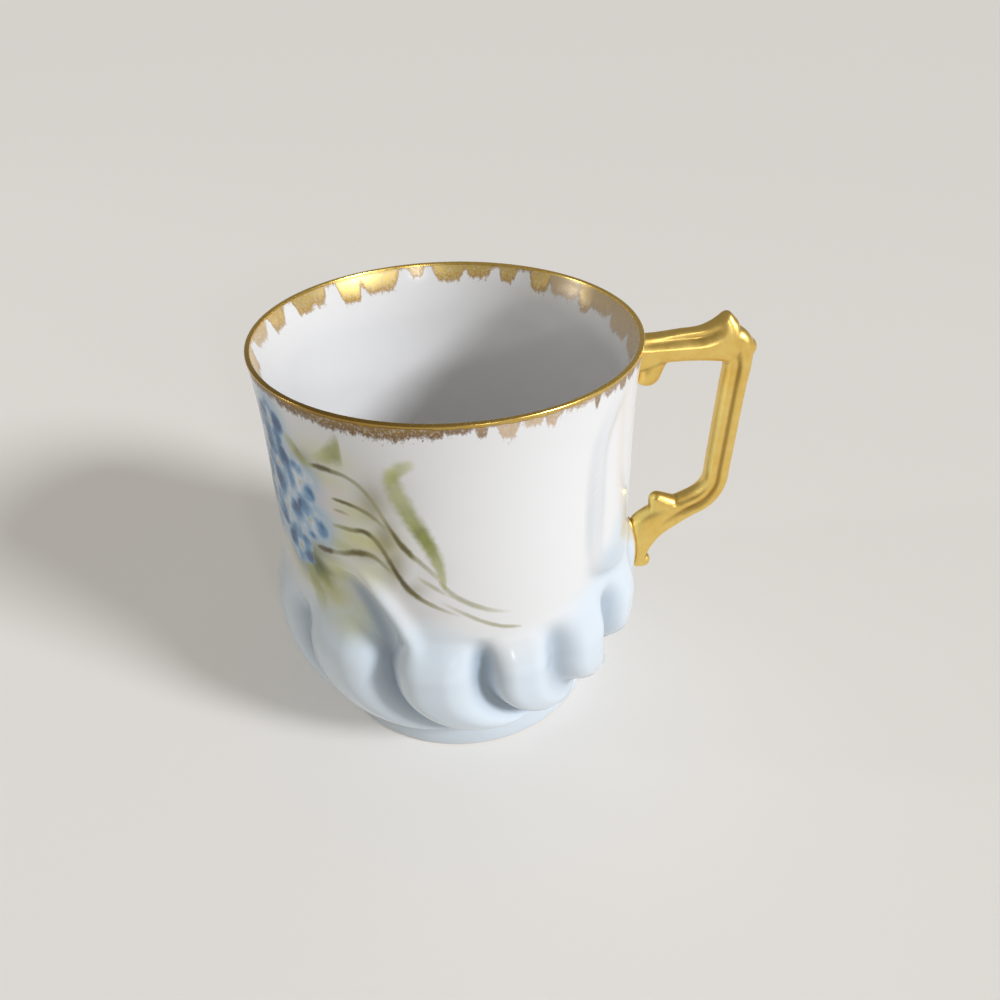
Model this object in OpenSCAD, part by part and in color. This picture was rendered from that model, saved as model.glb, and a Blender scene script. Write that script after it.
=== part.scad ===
// Porcelain chocolate cup: a straight can-shaped body on swirled gadroons, a plain foot ring,
// an angular gilded handle luted on with slip, and a gilded lip.
// Millimetres, +Z up. The origin is the middle of the foot, on the table. The handle points to +X.

/* [Body] */
// Diameter over the lip
rim_d = 57; // [50:0.5:64]
// Height from the table to the top of the gilded lip
cup_h = 65.5; // [60:0.5:76]
// Diameter of the wall at its narrowest, below the flared lip
throat_d = 56.2; // [52:0.2:60]
// Distance from the lip down to the narrowest part of the wall
throat_drop = 9; // [6:0.5:14]
// Diameter of the wall where the gadroons fade into it
wall_d = 57.2; // [54:0.2:60]
// Height at which the gadroons beside the handle have faded into the wall
shoulder_z = 36; // [33:0.5:39]
// How much lower they fade out at the front and the back
shoulder_dip = 3.5; // [0:0.5:6]
// Thickness of the wall
wall_t = 2; // [1.4:0.1:3]
// Thickness of the lip
lip_t = 0.9; // [0.7:0.1:1.6]
// Width of the flat on top of the lip
lip_flat = 0.2; // [0.1:0.05:0.4]
// Thickness of the floor
floor_t = 2.6; // [1.6:0.1:5]
// Radius between the floor and the wall, inside
floor_fillet = 12; // [6:0.5:14]
// Least thickness left under a groove
least_wall = 1; // [0.8:0.1:1.2]

/* [Gadroons] */
// Diameter over the crests of the gadroons
gadroon_d = 63.4; // [60:0.2:70]
// Height of the gadroons' widest point
gadroon_z = 21; // [17:0.5:26]
// Depth of the grooves between the gadroons
groove_depth = 3.6; // [1:0.1:4]
// Height of the top of a plain groove
groove_top = 30; // [26:0.5:33]
// Height of the top of a long scrolled groove
scroll_top = 40; // [36:0.5:46]
// Share of a gadroon's width that is plain crest
crest_share = 0.2; // [0.1:0.05:0.6]
// Share of a groove's depth that is a narrow channel, where the rest is a broad wave
channel_share = 0.6; // [0:0.05:1]
// Height of the ridge beside a scrolled groove
ridge_h = 1.3; // [0.2:0.1:2]
// Distance of that ridge from its groove, in degrees
ridge_offset = 9; // [6:0.5:11]

/* [Foot] */
// Diameter of the foot ring at the table
foot_d = 48.2; // [42:0.2:54]
// Diameter of the neck where the foot ring meets the body
neck_d = 46.4; // [42:0.2:52]
// Height of the foot ring
foot_h = 5.4; // [3:0.1:8]
// Width of the foot ring
foot_w = 3; // [2:0.1:5]
// Rounding of the foot ring's edges
foot_edge = 0.5; // [0.2:0.05:0.8]

/* [Handle] */
// How far the handle stands out from the throat of the wall
handle_out = 18.4; // [16:0.2:24]
// Width of the upright bar, seen from the side
bar_w = 4.1; // [3.2:0.1:5]
// Thickness of the bar, front to back
bar_t = 4.6; // [3:0.1:6]
// Depth of the flute along each side of the bar
flute_depth = 0.6; // [0.1:0.05:0.9]
// Distance from the lip down to the middle of the upper arm
arm_drop = 4.8; // [4:0.1:7]
// Height of the upper arm
arm_w = 4.3; // [3.4:0.1:5]
// Radius of the curl under the upper arm, at the wall
curl_r = 2.2; // [1.6:0.1:2.6]
// How far the middle of the curl lies below the middle of the upper arm
curl_drop = 4; // [3:0.1:5]
// How far the ear on the outer corner stands above the middle of the upper arm
ear_rise = 5.4; // [4:0.1:6.4]
// Radius of the lobe below the ear
corner_r = 1.6; // [1.2:0.1:2]
// How far that lobe stands out past the bar
corner_out = 0.6; // [0.2:0.1:1.2]
// Height of the lower elbow above the table
elbow_z = 34.6; // [32:0.2:38]
// Width of the lower arm
lower_arm_w = 4.8; // [3.6:0.1:5.4]
// Radius of the knuckle on the lower arm
knuckle_r = 1.4; // [1:0.1:2]
// Width of the tail that lies down the gadroons
tail_w = 3.2; // [2.4:0.1:4]
// Radius of the bead at the end of the tail
tail_bead_r = 1.35; // [1:0.05:1.8]
// Height of the lower joint on the gadroons
lower_joint_h = 10.8; // [8:0.2:12]
// Height of the middle of the lower joint above the table
lower_joint_z = 22.9; // [21:0.1:25]

/* [Joints and gilding] */
// Thickness of the slip between the handle and the body
slip_t = 0.7; // [0.3:0.1:1.5]
// Thickness of the gilding, drawn thicker than fired gold
gilt_t = 0.08; // [0.05:0.01:0.2]
// Depth of the gilding below the lip's rounded edge, outside
gilt_out = 0.5; // [0.3:0.1:4]
// Depth of the gilding below the lip's rounded edge, inside
gilt_in = 0.6; // [0.3:0.1:5]

/* [Hidden] */

$fn = 96;
// Finer rounding for the faces that the slip joints share with the body
joint_fn = 480;

rim_r = rim_d / 2 - gilt_t;
throat_r = throat_d / 2;
wall_r = wall_d / 2;
gadroon_r = gadroon_d / 2;
neck_r = neck_d / 2;
foot_r = foot_d / 2;
lip_z = cup_h - gilt_t;
lip_edge = (lip_t - lip_flat) / 2;
lip_edge_z = lip_z - lip_edge;
throat_z = cup_h - throat_drop;
floor_z = foot_h + floor_t;
// Heights of the gilding's lower edges, outside and inside
gilt_out_z = lip_edge_z - gilt_out;
gilt_in_z = lip_edge_z - gilt_in;

// Number of facets across each gadroon, and of steps in each stretch of the body's outline
gadroon_facets = 10;
under_steps = 10;
shoulder_steps = 8;
ridge_steps = 4;
wall_steps = 3;
flare_steps = 3;
gilt_steps = 2;
edge_steps = 3;
fillet_steps = 8;

// Grooves on each side of the handle: angle from it, share of the full depth, and half width of the
// channel. The gadroons differ in width.
side_grooves = [
    [15, 0.75, 2.4], [39, 0.75, 2.3], [62.5, 0.65, 2.3], [85, 1, 1.8], [114, 1, 2.2], [146, 0.7, 2.6]
];
back_groove = [180, 0.75, 2.4];
// The groove on each side that runs up into a scroll
scroll_groove = 4;
grooves = concat(
    side_grooves,
    [back_groove],
    [for (i = [len(side_grooves) - 1 : -1 : 0])
        [360 - side_grooves[i][0], side_grooves[i][1], side_grooves[i][2]]]
);
scrolls = [scroll_groove, len(grooves) - 1 - scroll_groove];

// Heights between which the grooves stand upright, and how fast they lean above and below, in
// degrees a square millimetre
upright_hi = 26;
upright_lo = 22;
lean_top = 0.055;
lean_foot = 0.1;
// Length over which a plain groove, a scrolled groove and every groove's lower end run out
groove_run = 5;
scroll_run = 12;
foot_run = 5;
// Spread of the ridge beside a scrolled groove in degrees, where it starts, and its run at each end
ridge_spread = 3.4;
ridge_foot_z = 25;
ridge_run = 7;
// Height above which the wall is plain
relief_top = scroll_top + 3;
// Difference of radius over which a groove's bottom blends into the least wall
wall_blend = 0.8;

function lerp(a, b, t) = a + (b - a) * t;
function ease(t) = (1 - cos(180 * min(max(t, 0), 1))) / 2;
function round_off(t) = sin(90 * min(max(t, 0), 1));
function steps(a, b, n) = [for (i = [1 : n]) lerp(a, b, i / n)];

// The larger of two radii, blended where they are nearly alike
function blend_max(a, b) = max(a, b) + pow(max(wall_blend - abs(a - b), 0), 2) / wall_blend / 4;

// Radius over the crests of the gadroons, the wall and the lip at height z, where the gadroons fade
// out at the height of the shoulder
function crest_r(z, shoulder = shoulder_z) =
    z < gadroon_z
        ? lerp(neck_r, gadroon_r, sqrt(max(1 - pow((gadroon_z - z) / (gadroon_z - foot_h), 2), 0)))
    : z < shoulder
        ? lerp(gadroon_r, wall_r, ease((z - gadroon_z) / (shoulder - gadroon_z)))
    : z < shoulder_z
        ? wall_r
    : z < throat_z
        ? lerp(wall_r, throat_r, ease((z - shoulder_z) / (throat_z - shoulder_z)))
    : z < lip_edge_z
        ? lerp(throat_r, rim_r, pow((z - throat_z) / (lip_edge_z - throat_z), 2))
    : rim_r - lip_edge + sqrt(max(pow(lip_edge, 2) - pow(z - lip_edge_z, 2), 0));

// Radius of the inside at height z, below the lip's rounding
fillet_z = floor_z + floor_fillet;
function inner_r(z) =
    z < floor_z
        ? 0
    : z < fillet_z
        ? wall_r - wall_t - floor_fillet + sqrt(pow(floor_fillet, 2) - pow(fillet_z - z, 2))
    : z < shoulder_z
        ? wall_r - wall_t
    : z < throat_z
        ? lerp(wall_r, throat_r, ease((z - shoulder_z) / (throat_z - shoulder_z))) - wall_t
    : lerp(throat_r - wall_t, rim_r - lip_t, pow((z - throat_z) / (lip_edge_z - throat_z), 2));

// How far the grooves have leant round the cup at height z
function lean(z) =
    z > upright_hi ? -lean_top * pow(min(z, relief_top) - upright_hi, 2)
    : z < upright_lo ? lean_foot * pow(upright_lo - z, 2)
    : 0;

// Depth of groove i at height z
function is_scroll(i) = len(search(i, scrolls)) > 0;
function groove_at(i, z) =
    groove_depth * grooves[i][1]
    * round_off(is_scroll(i) ? (scroll_top - z) / scroll_run : (groove_top - z) / groove_run)
    * round_off((z - foot_h) / foot_run);

// Share of the groove's depth at distance t from the crest, where 1 is the groove, and so many channel
// widths away from the groove
function groove_form(t, widths) = lerp(
    pow(sin(90 * max(t - crest_share, 0) / (1 - crest_share)), 2),
    exp(-pow(widths, 2)),
    channel_share
);

// Depth below the crest, at angle a already freed of the lean
function relief(a, z) =
    let (
        before = [for (i = [0 : len(grooves) - 1]) if (grooves[i][0] <= a) i],
        left = len(before) ? before[len(before) - 1] : len(grooves) - 1,
        right = (left + 1) % len(grooves),
        width = grooves[right][0] - grooves[left][0] + (right == 0 ? 360 : 0),
        from_left = a - grooves[left][0],
        t = 2 * from_left / width - 1,
        near = t < 0 ? left : right,
        away = (1 - abs(t)) * width / 2 * PI / 180 * crest_r(z)
    )
    groove_at(near, z) * groove_form(abs(t), away / grooves[near][2]);

// Height of the ridges beside the scrolled grooves
function ridge(a, z) =
    ridge_h
    * ease((z - ridge_foot_z) / ridge_run)
    * ease((relief_top - z) / ridge_run)
    * max([for (i = scrolls) exp(-pow((a - grooves[i][0] - ridge_offset) / ridge_spread, 2))]);

// Radius of the body's outside, at angle a already freed of the lean
function body_r(a, z) =
    z < relief_top
        ? let (crest = crest_r(z, shoulder_z - shoulder_dip * pow(sin(a), 2)) + ridge(a, z))
          min(crest, blend_max(crest - relief(a, z), inner_r(z) + least_wall))
        : crest_r(z);

// Angles of the body's facets before they lean: the same number across each gadroon, closer together
// at its grooves
facet_angles = [
    for (i = [0 : len(grooves) - 1], k = [0 : gadroon_facets - 1])
        let (next = i + 1 < len(grooves) ? grooves[i + 1][0] : grooves[0][0] + 360)
        lerp(grooves[i][0], next, ease(k / gadroon_facets))
];

// Heights of the rows of the body's outside, from the neck to the lip
row_heights = concat(
    [for (i = [0 : under_steps]) gadroon_z - (gadroon_z - foot_h) * cos(90 * i / under_steps)],
    steps(gadroon_z, shoulder_z, shoulder_steps),
    steps(shoulder_z, relief_top, ridge_steps),
    steps(relief_top, throat_z, wall_steps),
    steps(throat_z, gilt_out_z, flare_steps),
    steps(gilt_out_z, lip_edge_z, gilt_steps),
    [for (i = [1 : edge_steps]) lip_edge_z + lip_edge * sin(90 * i / edge_steps)]
);

// Outline of the inside: the fillet at the floor, then the wall, up to the start of the lip's edge
inner_floor = [
    for (i = [0 : fillet_steps - 1])
        let (a = 270 + 90 * i / fillet_steps)
        [wall_r - wall_t - floor_fillet + floor_fillet * cos(a), fillet_z + floor_fillet * sin(a)]
];
inner_wall = [
    for (z = concat(
        [fillet_z, shoulder_z],
        steps(shoulder_z, throat_z, wall_steps),
        steps(throat_z, gilt_in_z, flare_steps),
        steps(gilt_in_z, lip_edge_z, gilt_steps)
    )) [inner_r(z), z]
];

// Outline over the top of the lip, grown by extra, from the outside of its edge to the inside
outer_lip_r = rim_r - lip_edge;
inner_lip_r = rim_r - lip_t + lip_edge;
function lip_top(extra) = concat(
    [for (i = [0 : edge_steps])
        let (a = 90 * i / edge_steps)
        [outer_lip_r + (lip_edge + extra) * cos(a), lip_edge_z + (lip_edge + extra) * sin(a)]],
    [for (i = [0 : edge_steps])
        let (a = 90 + 90 * i / edge_steps)
        [inner_lip_r + (lip_edge + extra) * cos(a), lip_edge_z + (lip_edge + extra) * sin(a)]]
);

// Skin of a stack of closed rings of n points each, as triangles, with a flat cap at each end
function stack_faces(rings, n) = concat(
    [for (k = [0 : rings - 2], i = [0 : n - 1])
        let (j = (i + 1) % n) [k * n + i, (k + 1) * n + i, (k + 1) * n + j]],
    [for (k = [0 : rings - 2], i = [0 : n - 1])
        let (j = (i + 1) % n) [k * n + i, (k + 1) * n + j, k * n + j]],
    [[for (i = [0 : n - 1]) i]],
    [[for (i = [n - 1 : -1 : 0]) (rings - 1) * n + i]]
);

module cup_body() {
    color("ghostwhite")
    difference() {
        polyhedron(
            points = [
                for (z = row_heights, a = facet_angles)
                    let (r = body_r(a, z), leaning = a + lean(z))
                    [r * cos(leaning), r * sin(leaning), z]
            ],
            faces = stack_faces(len(row_heights), len(facet_angles))
        );
        rotate_extrude()
            polygon(concat(
                [[0, floor_z]],
                inner_floor,
                inner_wall,
                [for (i = [2 * edge_steps : -1 : edge_steps + 1]) lip_top(0)[i]],
                [[inner_lip_r, lip_z + wall_t], [0, lip_z + wall_t]]
            ));
    }
}

module foot_ring() {
    waist_steps = 6;
    color("aliceblue")
        rotate_extrude()
            polygon(concat(
                [for (i = [0 : edge_steps])
                    let (a = 270 - 90 * i / edge_steps)
                    [foot_r - foot_w + foot_edge + foot_edge * cos(a), foot_edge + foot_edge * sin(a)]],
                [[neck_r - foot_w, foot_h], [neck_r, foot_h]],
                [for (i = [1 : waist_steps])
                    let (t = i / waist_steps)
                    [lerp(neck_r, foot_r, ease(t)), lerp(foot_h, 2 * foot_edge, t)]],
                [for (i = [0 : edge_steps])
                    let (a = -90 * i / edge_steps)
                    [foot_r - foot_edge + foot_edge * cos(a), foot_edge + foot_edge * sin(a)]]
            ));
}

// Handle. Its path runs from the upper joint, along the upper arm, down the bar, along the lower arm
// and down the tail. The outer side of the path is up, then out, then down and out again.
bar_x = throat_r + handle_out - bar_w / 2;
arm_z = cup_h - arm_drop;
arm_x = throat_r + slip_t;
tail_x = gadroon_r + slip_t;
arm_run = bar_x - arm_x;
lower_run = bar_x - tail_x;
lower_drop = elbow_z - lower_joint_z;
tail_z = lower_joint_z - lower_joint_h / 2;

// Height of the upper joint, which takes in the arm and the curl
upper_joint_h = arm_w / 2 + curl_drop + curl_r;
upper_joint_z = arm_z + (arm_w - upper_joint_h) / 2;

// Each station: place along X and Z, half width on the outer and the inner side, half thickness,
// and depth of the flute
half_t = bar_t / 2;
stations = [
    // Upper arm
    [arm_x - slip_t - wall_t, arm_z, arm_w * 0.5, arm_w * 0.85, half_t * 1.05, 0],
    [arm_x + arm_run * 0.09, arm_z, arm_w * 0.52, arm_w * 0.85, half_t * 1.03, 0],
    [arm_x + arm_run * 0.22, arm_z, arm_w * 0.57, arm_w * 0.57, half_t, flute_depth / 2],
    [arm_x + arm_run * 0.38, arm_z, arm_w * 0.65, arm_w * 0.5, half_t, flute_depth],
    [arm_x + arm_run * 0.56, arm_z, arm_w * 0.72, arm_w * 0.5, half_t, flute_depth],
    // Ear and outer corner
    [arm_x + arm_run * 0.68, arm_z, lerp(arm_w * 0.72, ear_rise, 0.35), arm_w * 0.52,
        half_t, flute_depth / 2],
    [arm_x + arm_run * 0.76, arm_z, ear_rise * 0.9, arm_w * 0.55, half_t, 0],
    [arm_x + arm_run * 0.82, arm_z, ear_rise, arm_w * 0.56, half_t, 0],
    [arm_x + arm_run * 0.88, arm_z - arm_w * 0.03, ear_rise * 0.74, arm_w * 0.58, half_t * 1.05, 0],
    [bar_x - bar_w * 0.16, arm_z - arm_w * 0.15, bar_w * 0.68, bar_w * 0.56,
        half_t * 1.05, flute_depth / 2],
    // Upright bar
    [bar_x, arm_z - arm_w * 0.75, bar_w * 0.54, bar_w * 0.5, half_t, flute_depth],
    [bar_x, lerp(arm_z, elbow_z, 0.28), bar_w * 0.5, bar_w * 0.5, half_t, flute_depth],
    [bar_x, lerp(arm_z, elbow_z, 0.55), bar_w * 0.5, bar_w * 0.5, half_t, flute_depth],
    [bar_x, lerp(arm_z, elbow_z, 0.82), bar_w * 0.5, bar_w * 0.5, half_t, flute_depth],
    // Lower elbow and lower arm
    [bar_x - bar_w * 0.03, lerp(arm_z, elbow_z, 0.97), bar_w * 0.5, bar_w * 0.5, half_t, flute_depth],
    [bar_x - lower_run * 0.14, elbow_z - lower_drop * 0.18, lower_arm_w * 0.46, lower_arm_w * 0.48,
        half_t, flute_depth],
    [bar_x - lower_run * 0.38, elbow_z - lower_drop * 0.34, lower_arm_w * 0.48, lower_arm_w * 0.5,
        half_t, flute_depth],
    [bar_x - lower_run * 0.62, elbow_z - lower_drop * 0.5, lower_arm_w * 0.55, lower_arm_w * 0.68,
        half_t, flute_depth / 2],
    // Tail
    [bar_x - lower_run * 0.79, elbow_z - lower_drop * 0.74, tail_w * 0.6, tail_w * 1.45, half_t * 0.95, 0],
    [bar_x - lower_run * 0.88, lower_joint_z, tail_w * 0.38, tail_w, half_t * 0.9, 0],
    [bar_x - lower_run * 0.93, lerp(lower_joint_z, tail_z, 0.55), tail_w * 0.3, tail_w * 0.5,
        half_t * 0.8, 0],
    [bar_x - lower_run * 0.96, tail_z, tail_w * 0.26, tail_w * 0.3, half_t * 0.5, 0]
];

handle_sides = 20;
handle_steps = 4;
// Squareness of the handle's section: 1 is an ellipse, less is squarer
section_power = 0.8;
// Width of the flute as a share of the half width
flute_share = 0.35;

// Smooth curve through the stations, at parameter u from 0 to their number less 1
function station(i) =
    i < 0 ? 2 * stations[0] - stations[1]
    : i >= len(stations) ? 2 * stations[len(stations) - 1] - stations[len(stations) - 2]
    : stations[i];
function along(u) =
    let (i = min(floor(u), len(stations) - 2), t = u - i,
         p = station(i - 1), q = station(i), r = station(i + 1), s = station(i + 2))
    0.5 * (2 * q + t * (r - p) + t * t * (2 * p - 5 * q + 4 * r - s) + t * t * t * (3 * q - p - 3 * r + s));

// Outer direction of the path at parameter u, square to the path
function outward(u) =
    let (last = len(stations) - 1, d = along(min(u + 0.05, last)) - along(max(u - 0.05, 0)),
         size = norm([d[0], d[1]]))
    [-d[1] / size, d[0] / size];

// Points of a section: distance to the outer side, and across
function section_point(s, a) =
    let (c = cos(a), w = sin(a), out = c > 0 ? s[2] * c : s[3] * c,
         across = s[4] * sign(w) * pow(abs(w), section_power))
    [out, across - sign(w) * s[5] * exp(-pow(c / flute_share, 2))];
function section_outline(s) = [
    for (i = [0 : handle_sides - 1]) section_point(s, -360 * i / handle_sides)
];

module handle_sweep() {
    rings = (len(stations) - 1) * handle_steps + 1;
    polyhedron(
        points = [
            for (k = [0 : rings - 1])
                let (u = k / handle_steps, s = along(u), n = outward(u))
                for (p = section_outline(s)) [s[0] + n[0] * p[0], p[1], s[1] + n[1] * p[0]]
        ],
        faces = stack_faces(rings, handle_sides)
    );
}

// Swelling of the handle: the shape round some balls, each a place along X and Z and a radius
ball_fn = 28;
module swelling(balls) {
    hull()
        for (b = balls)
            translate([b[0], 0, b[1]]) sphere(b[2], $fn = ball_fn);
}

module handle() {
    color("goldenrod")
        difference() {
            union() {
                handle_sweep();
                // Curl under the arm
                swelling([
                    [arm_x + curl_r * 0.75, arm_z - curl_drop, curl_r],
                    [arm_x + curl_r * 1.5, arm_z - arm_w * 0.25, curl_r * 0.7]
                ]);
                // Lobe of the outer corner
                swelling([[bar_x + bar_w / 2 + corner_out - corner_r, arm_z - arm_w * 0.1, corner_r]]);
                // Knuckle on the lower arm
                swelling([
                    [bar_x - lower_run * 0.8, elbow_z - lower_drop * 0.2, knuckle_r],
                    [bar_x - lower_run * 0.62, elbow_z - lower_drop * 0.31, knuckle_r * 1.35],
                    [bar_x - lower_run * 0.76, elbow_z - lower_drop * 0.38, knuckle_r * 1.2]
                ]);
                // Bead at the end of the tail
                swelling([[tail_x + tail_bead_r * 0.75, tail_z + tail_bead_r * 0.7, tail_bead_r]]);
            }
            crest_solid(slip_t);
        }
}

// Round solid under the crests of the gadroons and the wall, grown by extra
module crest_solid(extra) {
    rotate_extrude($fn = joint_fn)
        polygon(concat(
            [[0, row_heights[0]]],
            [for (z = row_heights) if (z <= lip_edge_z) [crest_r(z) + extra, z]],
            [[0, lip_edge_z]]
        ));
}

// Bead of slip between the body and one end of the handle
bead_points = 24;
bead_power = 0.6;
module slip_joint(middle_z, height, thickness) {
    color("gold")
        difference() {
            intersection() {
                translate([0, 0, middle_z])
                    rotate([90, 0, 90])
                        linear_extrude(bar_x)
                            polygon([
                                for (i = [0 : bead_points - 1])
                                    let (c = cos(360 * i / bead_points), w = sin(360 * i / bead_points))
                                    [thickness / 2 * sign(c) * pow(abs(c), bead_power),
                                     height / 2 * sign(w) * pow(abs(w), bead_power)]
                            ]);
                crest_solid(slip_t);
            }
            crest_solid(0);
        }
}

module upper_slip_joint() {
    slip_joint(upper_joint_z, upper_joint_h, bar_t);
}

module lower_slip_joint() {
    slip_joint(lower_joint_z, lower_joint_h, bar_t * 0.85);
}

// Outline of the gilded part of the lip, grown by extra, from the gilding's outer edge to its inner
// edge. It turns at the same heights as the body's own outline, so that it seats on it all over.
function gilded_outline(extra) = concat(
    [for (i = [0 : gilt_steps - 1])
        let (z = lerp(gilt_out_z, lip_edge_z, i / gilt_steps))
        [crest_r(z) + extra, z]],
    lip_top(extra),
    [for (i = [gilt_steps - 1 : -1 : 0])
        let (z = lerp(gilt_in_z, lip_edge_z, i / gilt_steps))
        [inner_r(z) - extra, z]]
);

module rim_gilding() {
    seat = gilded_outline(0);
    color("gold")
        rotate_extrude()
            polygon(concat(
                gilded_outline(gilt_t),
                [for (i = [len(seat) - 1 : -1 : 0]) seat[i]]
            ));
}

cup_body();
foot_ring();
handle();
upper_slip_joint();
lower_slip_joint();
rim_gilding();
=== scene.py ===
"""Looks of a small porcelain cup: swirled gadroons, a painted spray, a gilded handle and a gilded lip.

Shapes are worked out in millimetres and scaled to metres at the end, in the frame's own axes:
+Z is up, the handle points to +X and the camera stands at -Y.
"""

import logging
import math
from collections.abc import Callable, Sequence
from dataclasses import dataclass, field
from enum import Enum
from functools import partial
from typing import Any

import bmesh
import bpy
import numpy as np
from mathutils import Matrix, Vector


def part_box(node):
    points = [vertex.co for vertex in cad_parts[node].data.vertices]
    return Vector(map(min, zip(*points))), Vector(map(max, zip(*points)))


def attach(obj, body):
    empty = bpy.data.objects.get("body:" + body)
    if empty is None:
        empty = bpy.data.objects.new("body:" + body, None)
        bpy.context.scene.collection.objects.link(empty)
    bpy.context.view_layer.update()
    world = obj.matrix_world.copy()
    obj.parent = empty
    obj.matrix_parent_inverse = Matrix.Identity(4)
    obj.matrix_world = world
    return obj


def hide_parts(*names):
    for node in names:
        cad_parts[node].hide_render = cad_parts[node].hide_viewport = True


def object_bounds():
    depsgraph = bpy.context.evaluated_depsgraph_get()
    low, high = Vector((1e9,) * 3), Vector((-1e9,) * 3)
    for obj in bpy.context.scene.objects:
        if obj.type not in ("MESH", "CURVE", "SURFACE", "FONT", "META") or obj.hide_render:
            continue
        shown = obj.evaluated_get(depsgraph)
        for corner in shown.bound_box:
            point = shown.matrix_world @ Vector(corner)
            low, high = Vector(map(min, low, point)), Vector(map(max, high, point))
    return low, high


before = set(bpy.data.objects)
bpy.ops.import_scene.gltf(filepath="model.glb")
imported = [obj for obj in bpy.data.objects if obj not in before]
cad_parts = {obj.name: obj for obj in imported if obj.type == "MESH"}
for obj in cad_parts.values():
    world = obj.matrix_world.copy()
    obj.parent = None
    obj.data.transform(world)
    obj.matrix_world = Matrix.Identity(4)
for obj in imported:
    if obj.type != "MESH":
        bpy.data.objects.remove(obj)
CAD_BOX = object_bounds()

MM = 0.001
BODY = "root"
# The flat wall's lowest number and span, and the widest brush stroke, in millimetres
FLAT_LOW = -60.0
FLAT_SPAN = 130.0
WIDEST_STROKE = 4.0
# Azimuth of the cup's front, in degrees from the handle
FRONT = -90.0
# Points of a spun shape that lie closer than this become one, in millimetres
WELD = 0.002
# Numbers of the sockets of a node that mixes two colours
FACTOR, UNDER, OVER, MIXED = 0, 6, 7, 2
# What a noise gives on average
NOISE_MIDDLE = 0.5

Socket = bpy.types.NodeSocket
Sockets = dict[str, Socket]
# add_node with its tree already given
Maker = Callable[..., Socket]
# Position and hex colour of each stop of a colour ramp
Stops = tuple[tuple[float, str], ...]
# Two values that go in, and what comes out for each of them
Span = tuple[float, float, float, float]

log = logging.getLogger("porcelain_cup")


class Side(Enum):
    """The two faces of the wall below the lip."""

    OUTSIDE = "outside"
    INSIDE = "inside"


class Run(Enum):
    """The way that a brush stroke runs on the wall."""

    ROUND = "round"
    UP = "up"


# Small functions that several pieces share


def linear(hex_colour: str) -> tuple[float, float, float, float]:
    """Turn an sRGB hex colour into linear RGBA.

    Args:
        hex_colour: colour as "#RRGGBB".

    Returns:
        Linear red, green and blue, with an alpha of 1.
    """
    shares = [int(hex_colour[i : i + 2], 16) / 255 for i in (1, 3, 5)]
    red, green, blue = (
        share / 12.92 if share <= 0.04045 else ((share + 0.055) / 1.055) ** 2.4 for share in shares
    )
    return red, green, blue, 1.0


def per_metre(size_mm: float) -> float:
    """Return the texture scale that gives features of this size in millimetres."""
    return 1 / (size_mm * MM)


def fill_inputs(node: bpy.types.Node, inputs: dict[str | int, Any]) -> None:
    """Set or link the inputs of a node.

    Args:
        node: the node.
        inputs: value, or output socket to link, for each input's name or number.
    """
    for key, value in inputs.items():
        if isinstance(value, Socket):
            node.id_data.links.new(value, node.inputs[key])
        else:
            node.inputs[key].default_value = value


def add_node(
    tree: bpy.types.NodeTree,
    kind: str,
    inputs: dict[str | int, Any] | Sequence[Any] = (),
    out: str | int = 0,
    stops: Stops = (),
    curves: Sequence[Sequence[tuple[float, float]]] = (),
    **settings: Any,
) -> Socket:
    """Add one shader node with its settings, values and links.

    Args:
        tree: node tree that gets the node.
        kind: Blender's name of the node's type, without the ShaderNode at its start.
        inputs: values, or output sockets to link, in order or for each input's name or number.
        out: name or number of the output to return.
        stops: position and hex colour of each stop, where the node is a colour ramp.
        curves: points of each curve from 0 to 1, where the node holds curves.
        settings: properties of the node itself.

    Returns:
        One output socket of the new node.
    """
    node = tree.nodes.new(f"ShaderNode{kind}")
    for name, value in settings.items():
        setattr(node, name, value)
    for number, (position, colour) in enumerate(stops):
        elements = node.color_ramp.elements
        # A new ramp already has two stops
        element = elements[number] if number < 2 else elements.new(position)
        element.position = position
        element.color = linear(colour)
    for number, (first, *between, last) in enumerate(curves):
        points = node.mapping.curves[number].points
        points[0].location, points[1].location = first, last
        for point in between:
            points.new(*point)
        node.mapping.update()
    fill_inputs(node, inputs if isinstance(inputs, dict) else dict(enumerate(inputs)))
    return node.outputs[out]


def new_material(name: str) -> tuple[bpy.types.Material, Maker, bpy.types.Node]:
    """Make an empty node material.

    Args:
        name: name of the real material.

    Returns:
        The material, add_node for its node tree, and its shader.
    """
    material = bpy.data.materials.new(name)
    material.use_nodes = True
    tree = material.node_tree
    return material, partial(add_node, tree), tree.nodes["Principled BSDF"]


def ease(t: np.ndarray) -> np.ndarray:
    """Return a smooth step from 0 to 1 as t goes from 0 to 1."""
    return (1 - np.cos(np.pi * np.clip(t, 0, 1))) / 2


def glide(t: np.ndarray) -> np.ndarray:
    """Return a step from 0 to 1 as t goes from 0 to 1, with no jump in its bend at either end."""
    t = np.clip(t, 0, 1)
    return t**3 * (10 - 15 * t + 6 * t**2)


def round_off(t: np.ndarray) -> np.ndarray:
    """Return a quarter sine from 0 to 1 as t goes from 0 to 1."""
    return np.sin(np.pi / 2 * np.clip(t, 0, 1))


def bell(t: np.ndarray) -> np.ndarray:
    """Return a bell curve that is 1 where t is 0."""
    return np.exp(-(t**2))


def wrap(degrees: np.ndarray) -> np.ndarray:
    """Return angles in degrees as they lie between -180 and 180."""
    return (degrees + 180) % 360 - 180


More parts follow.
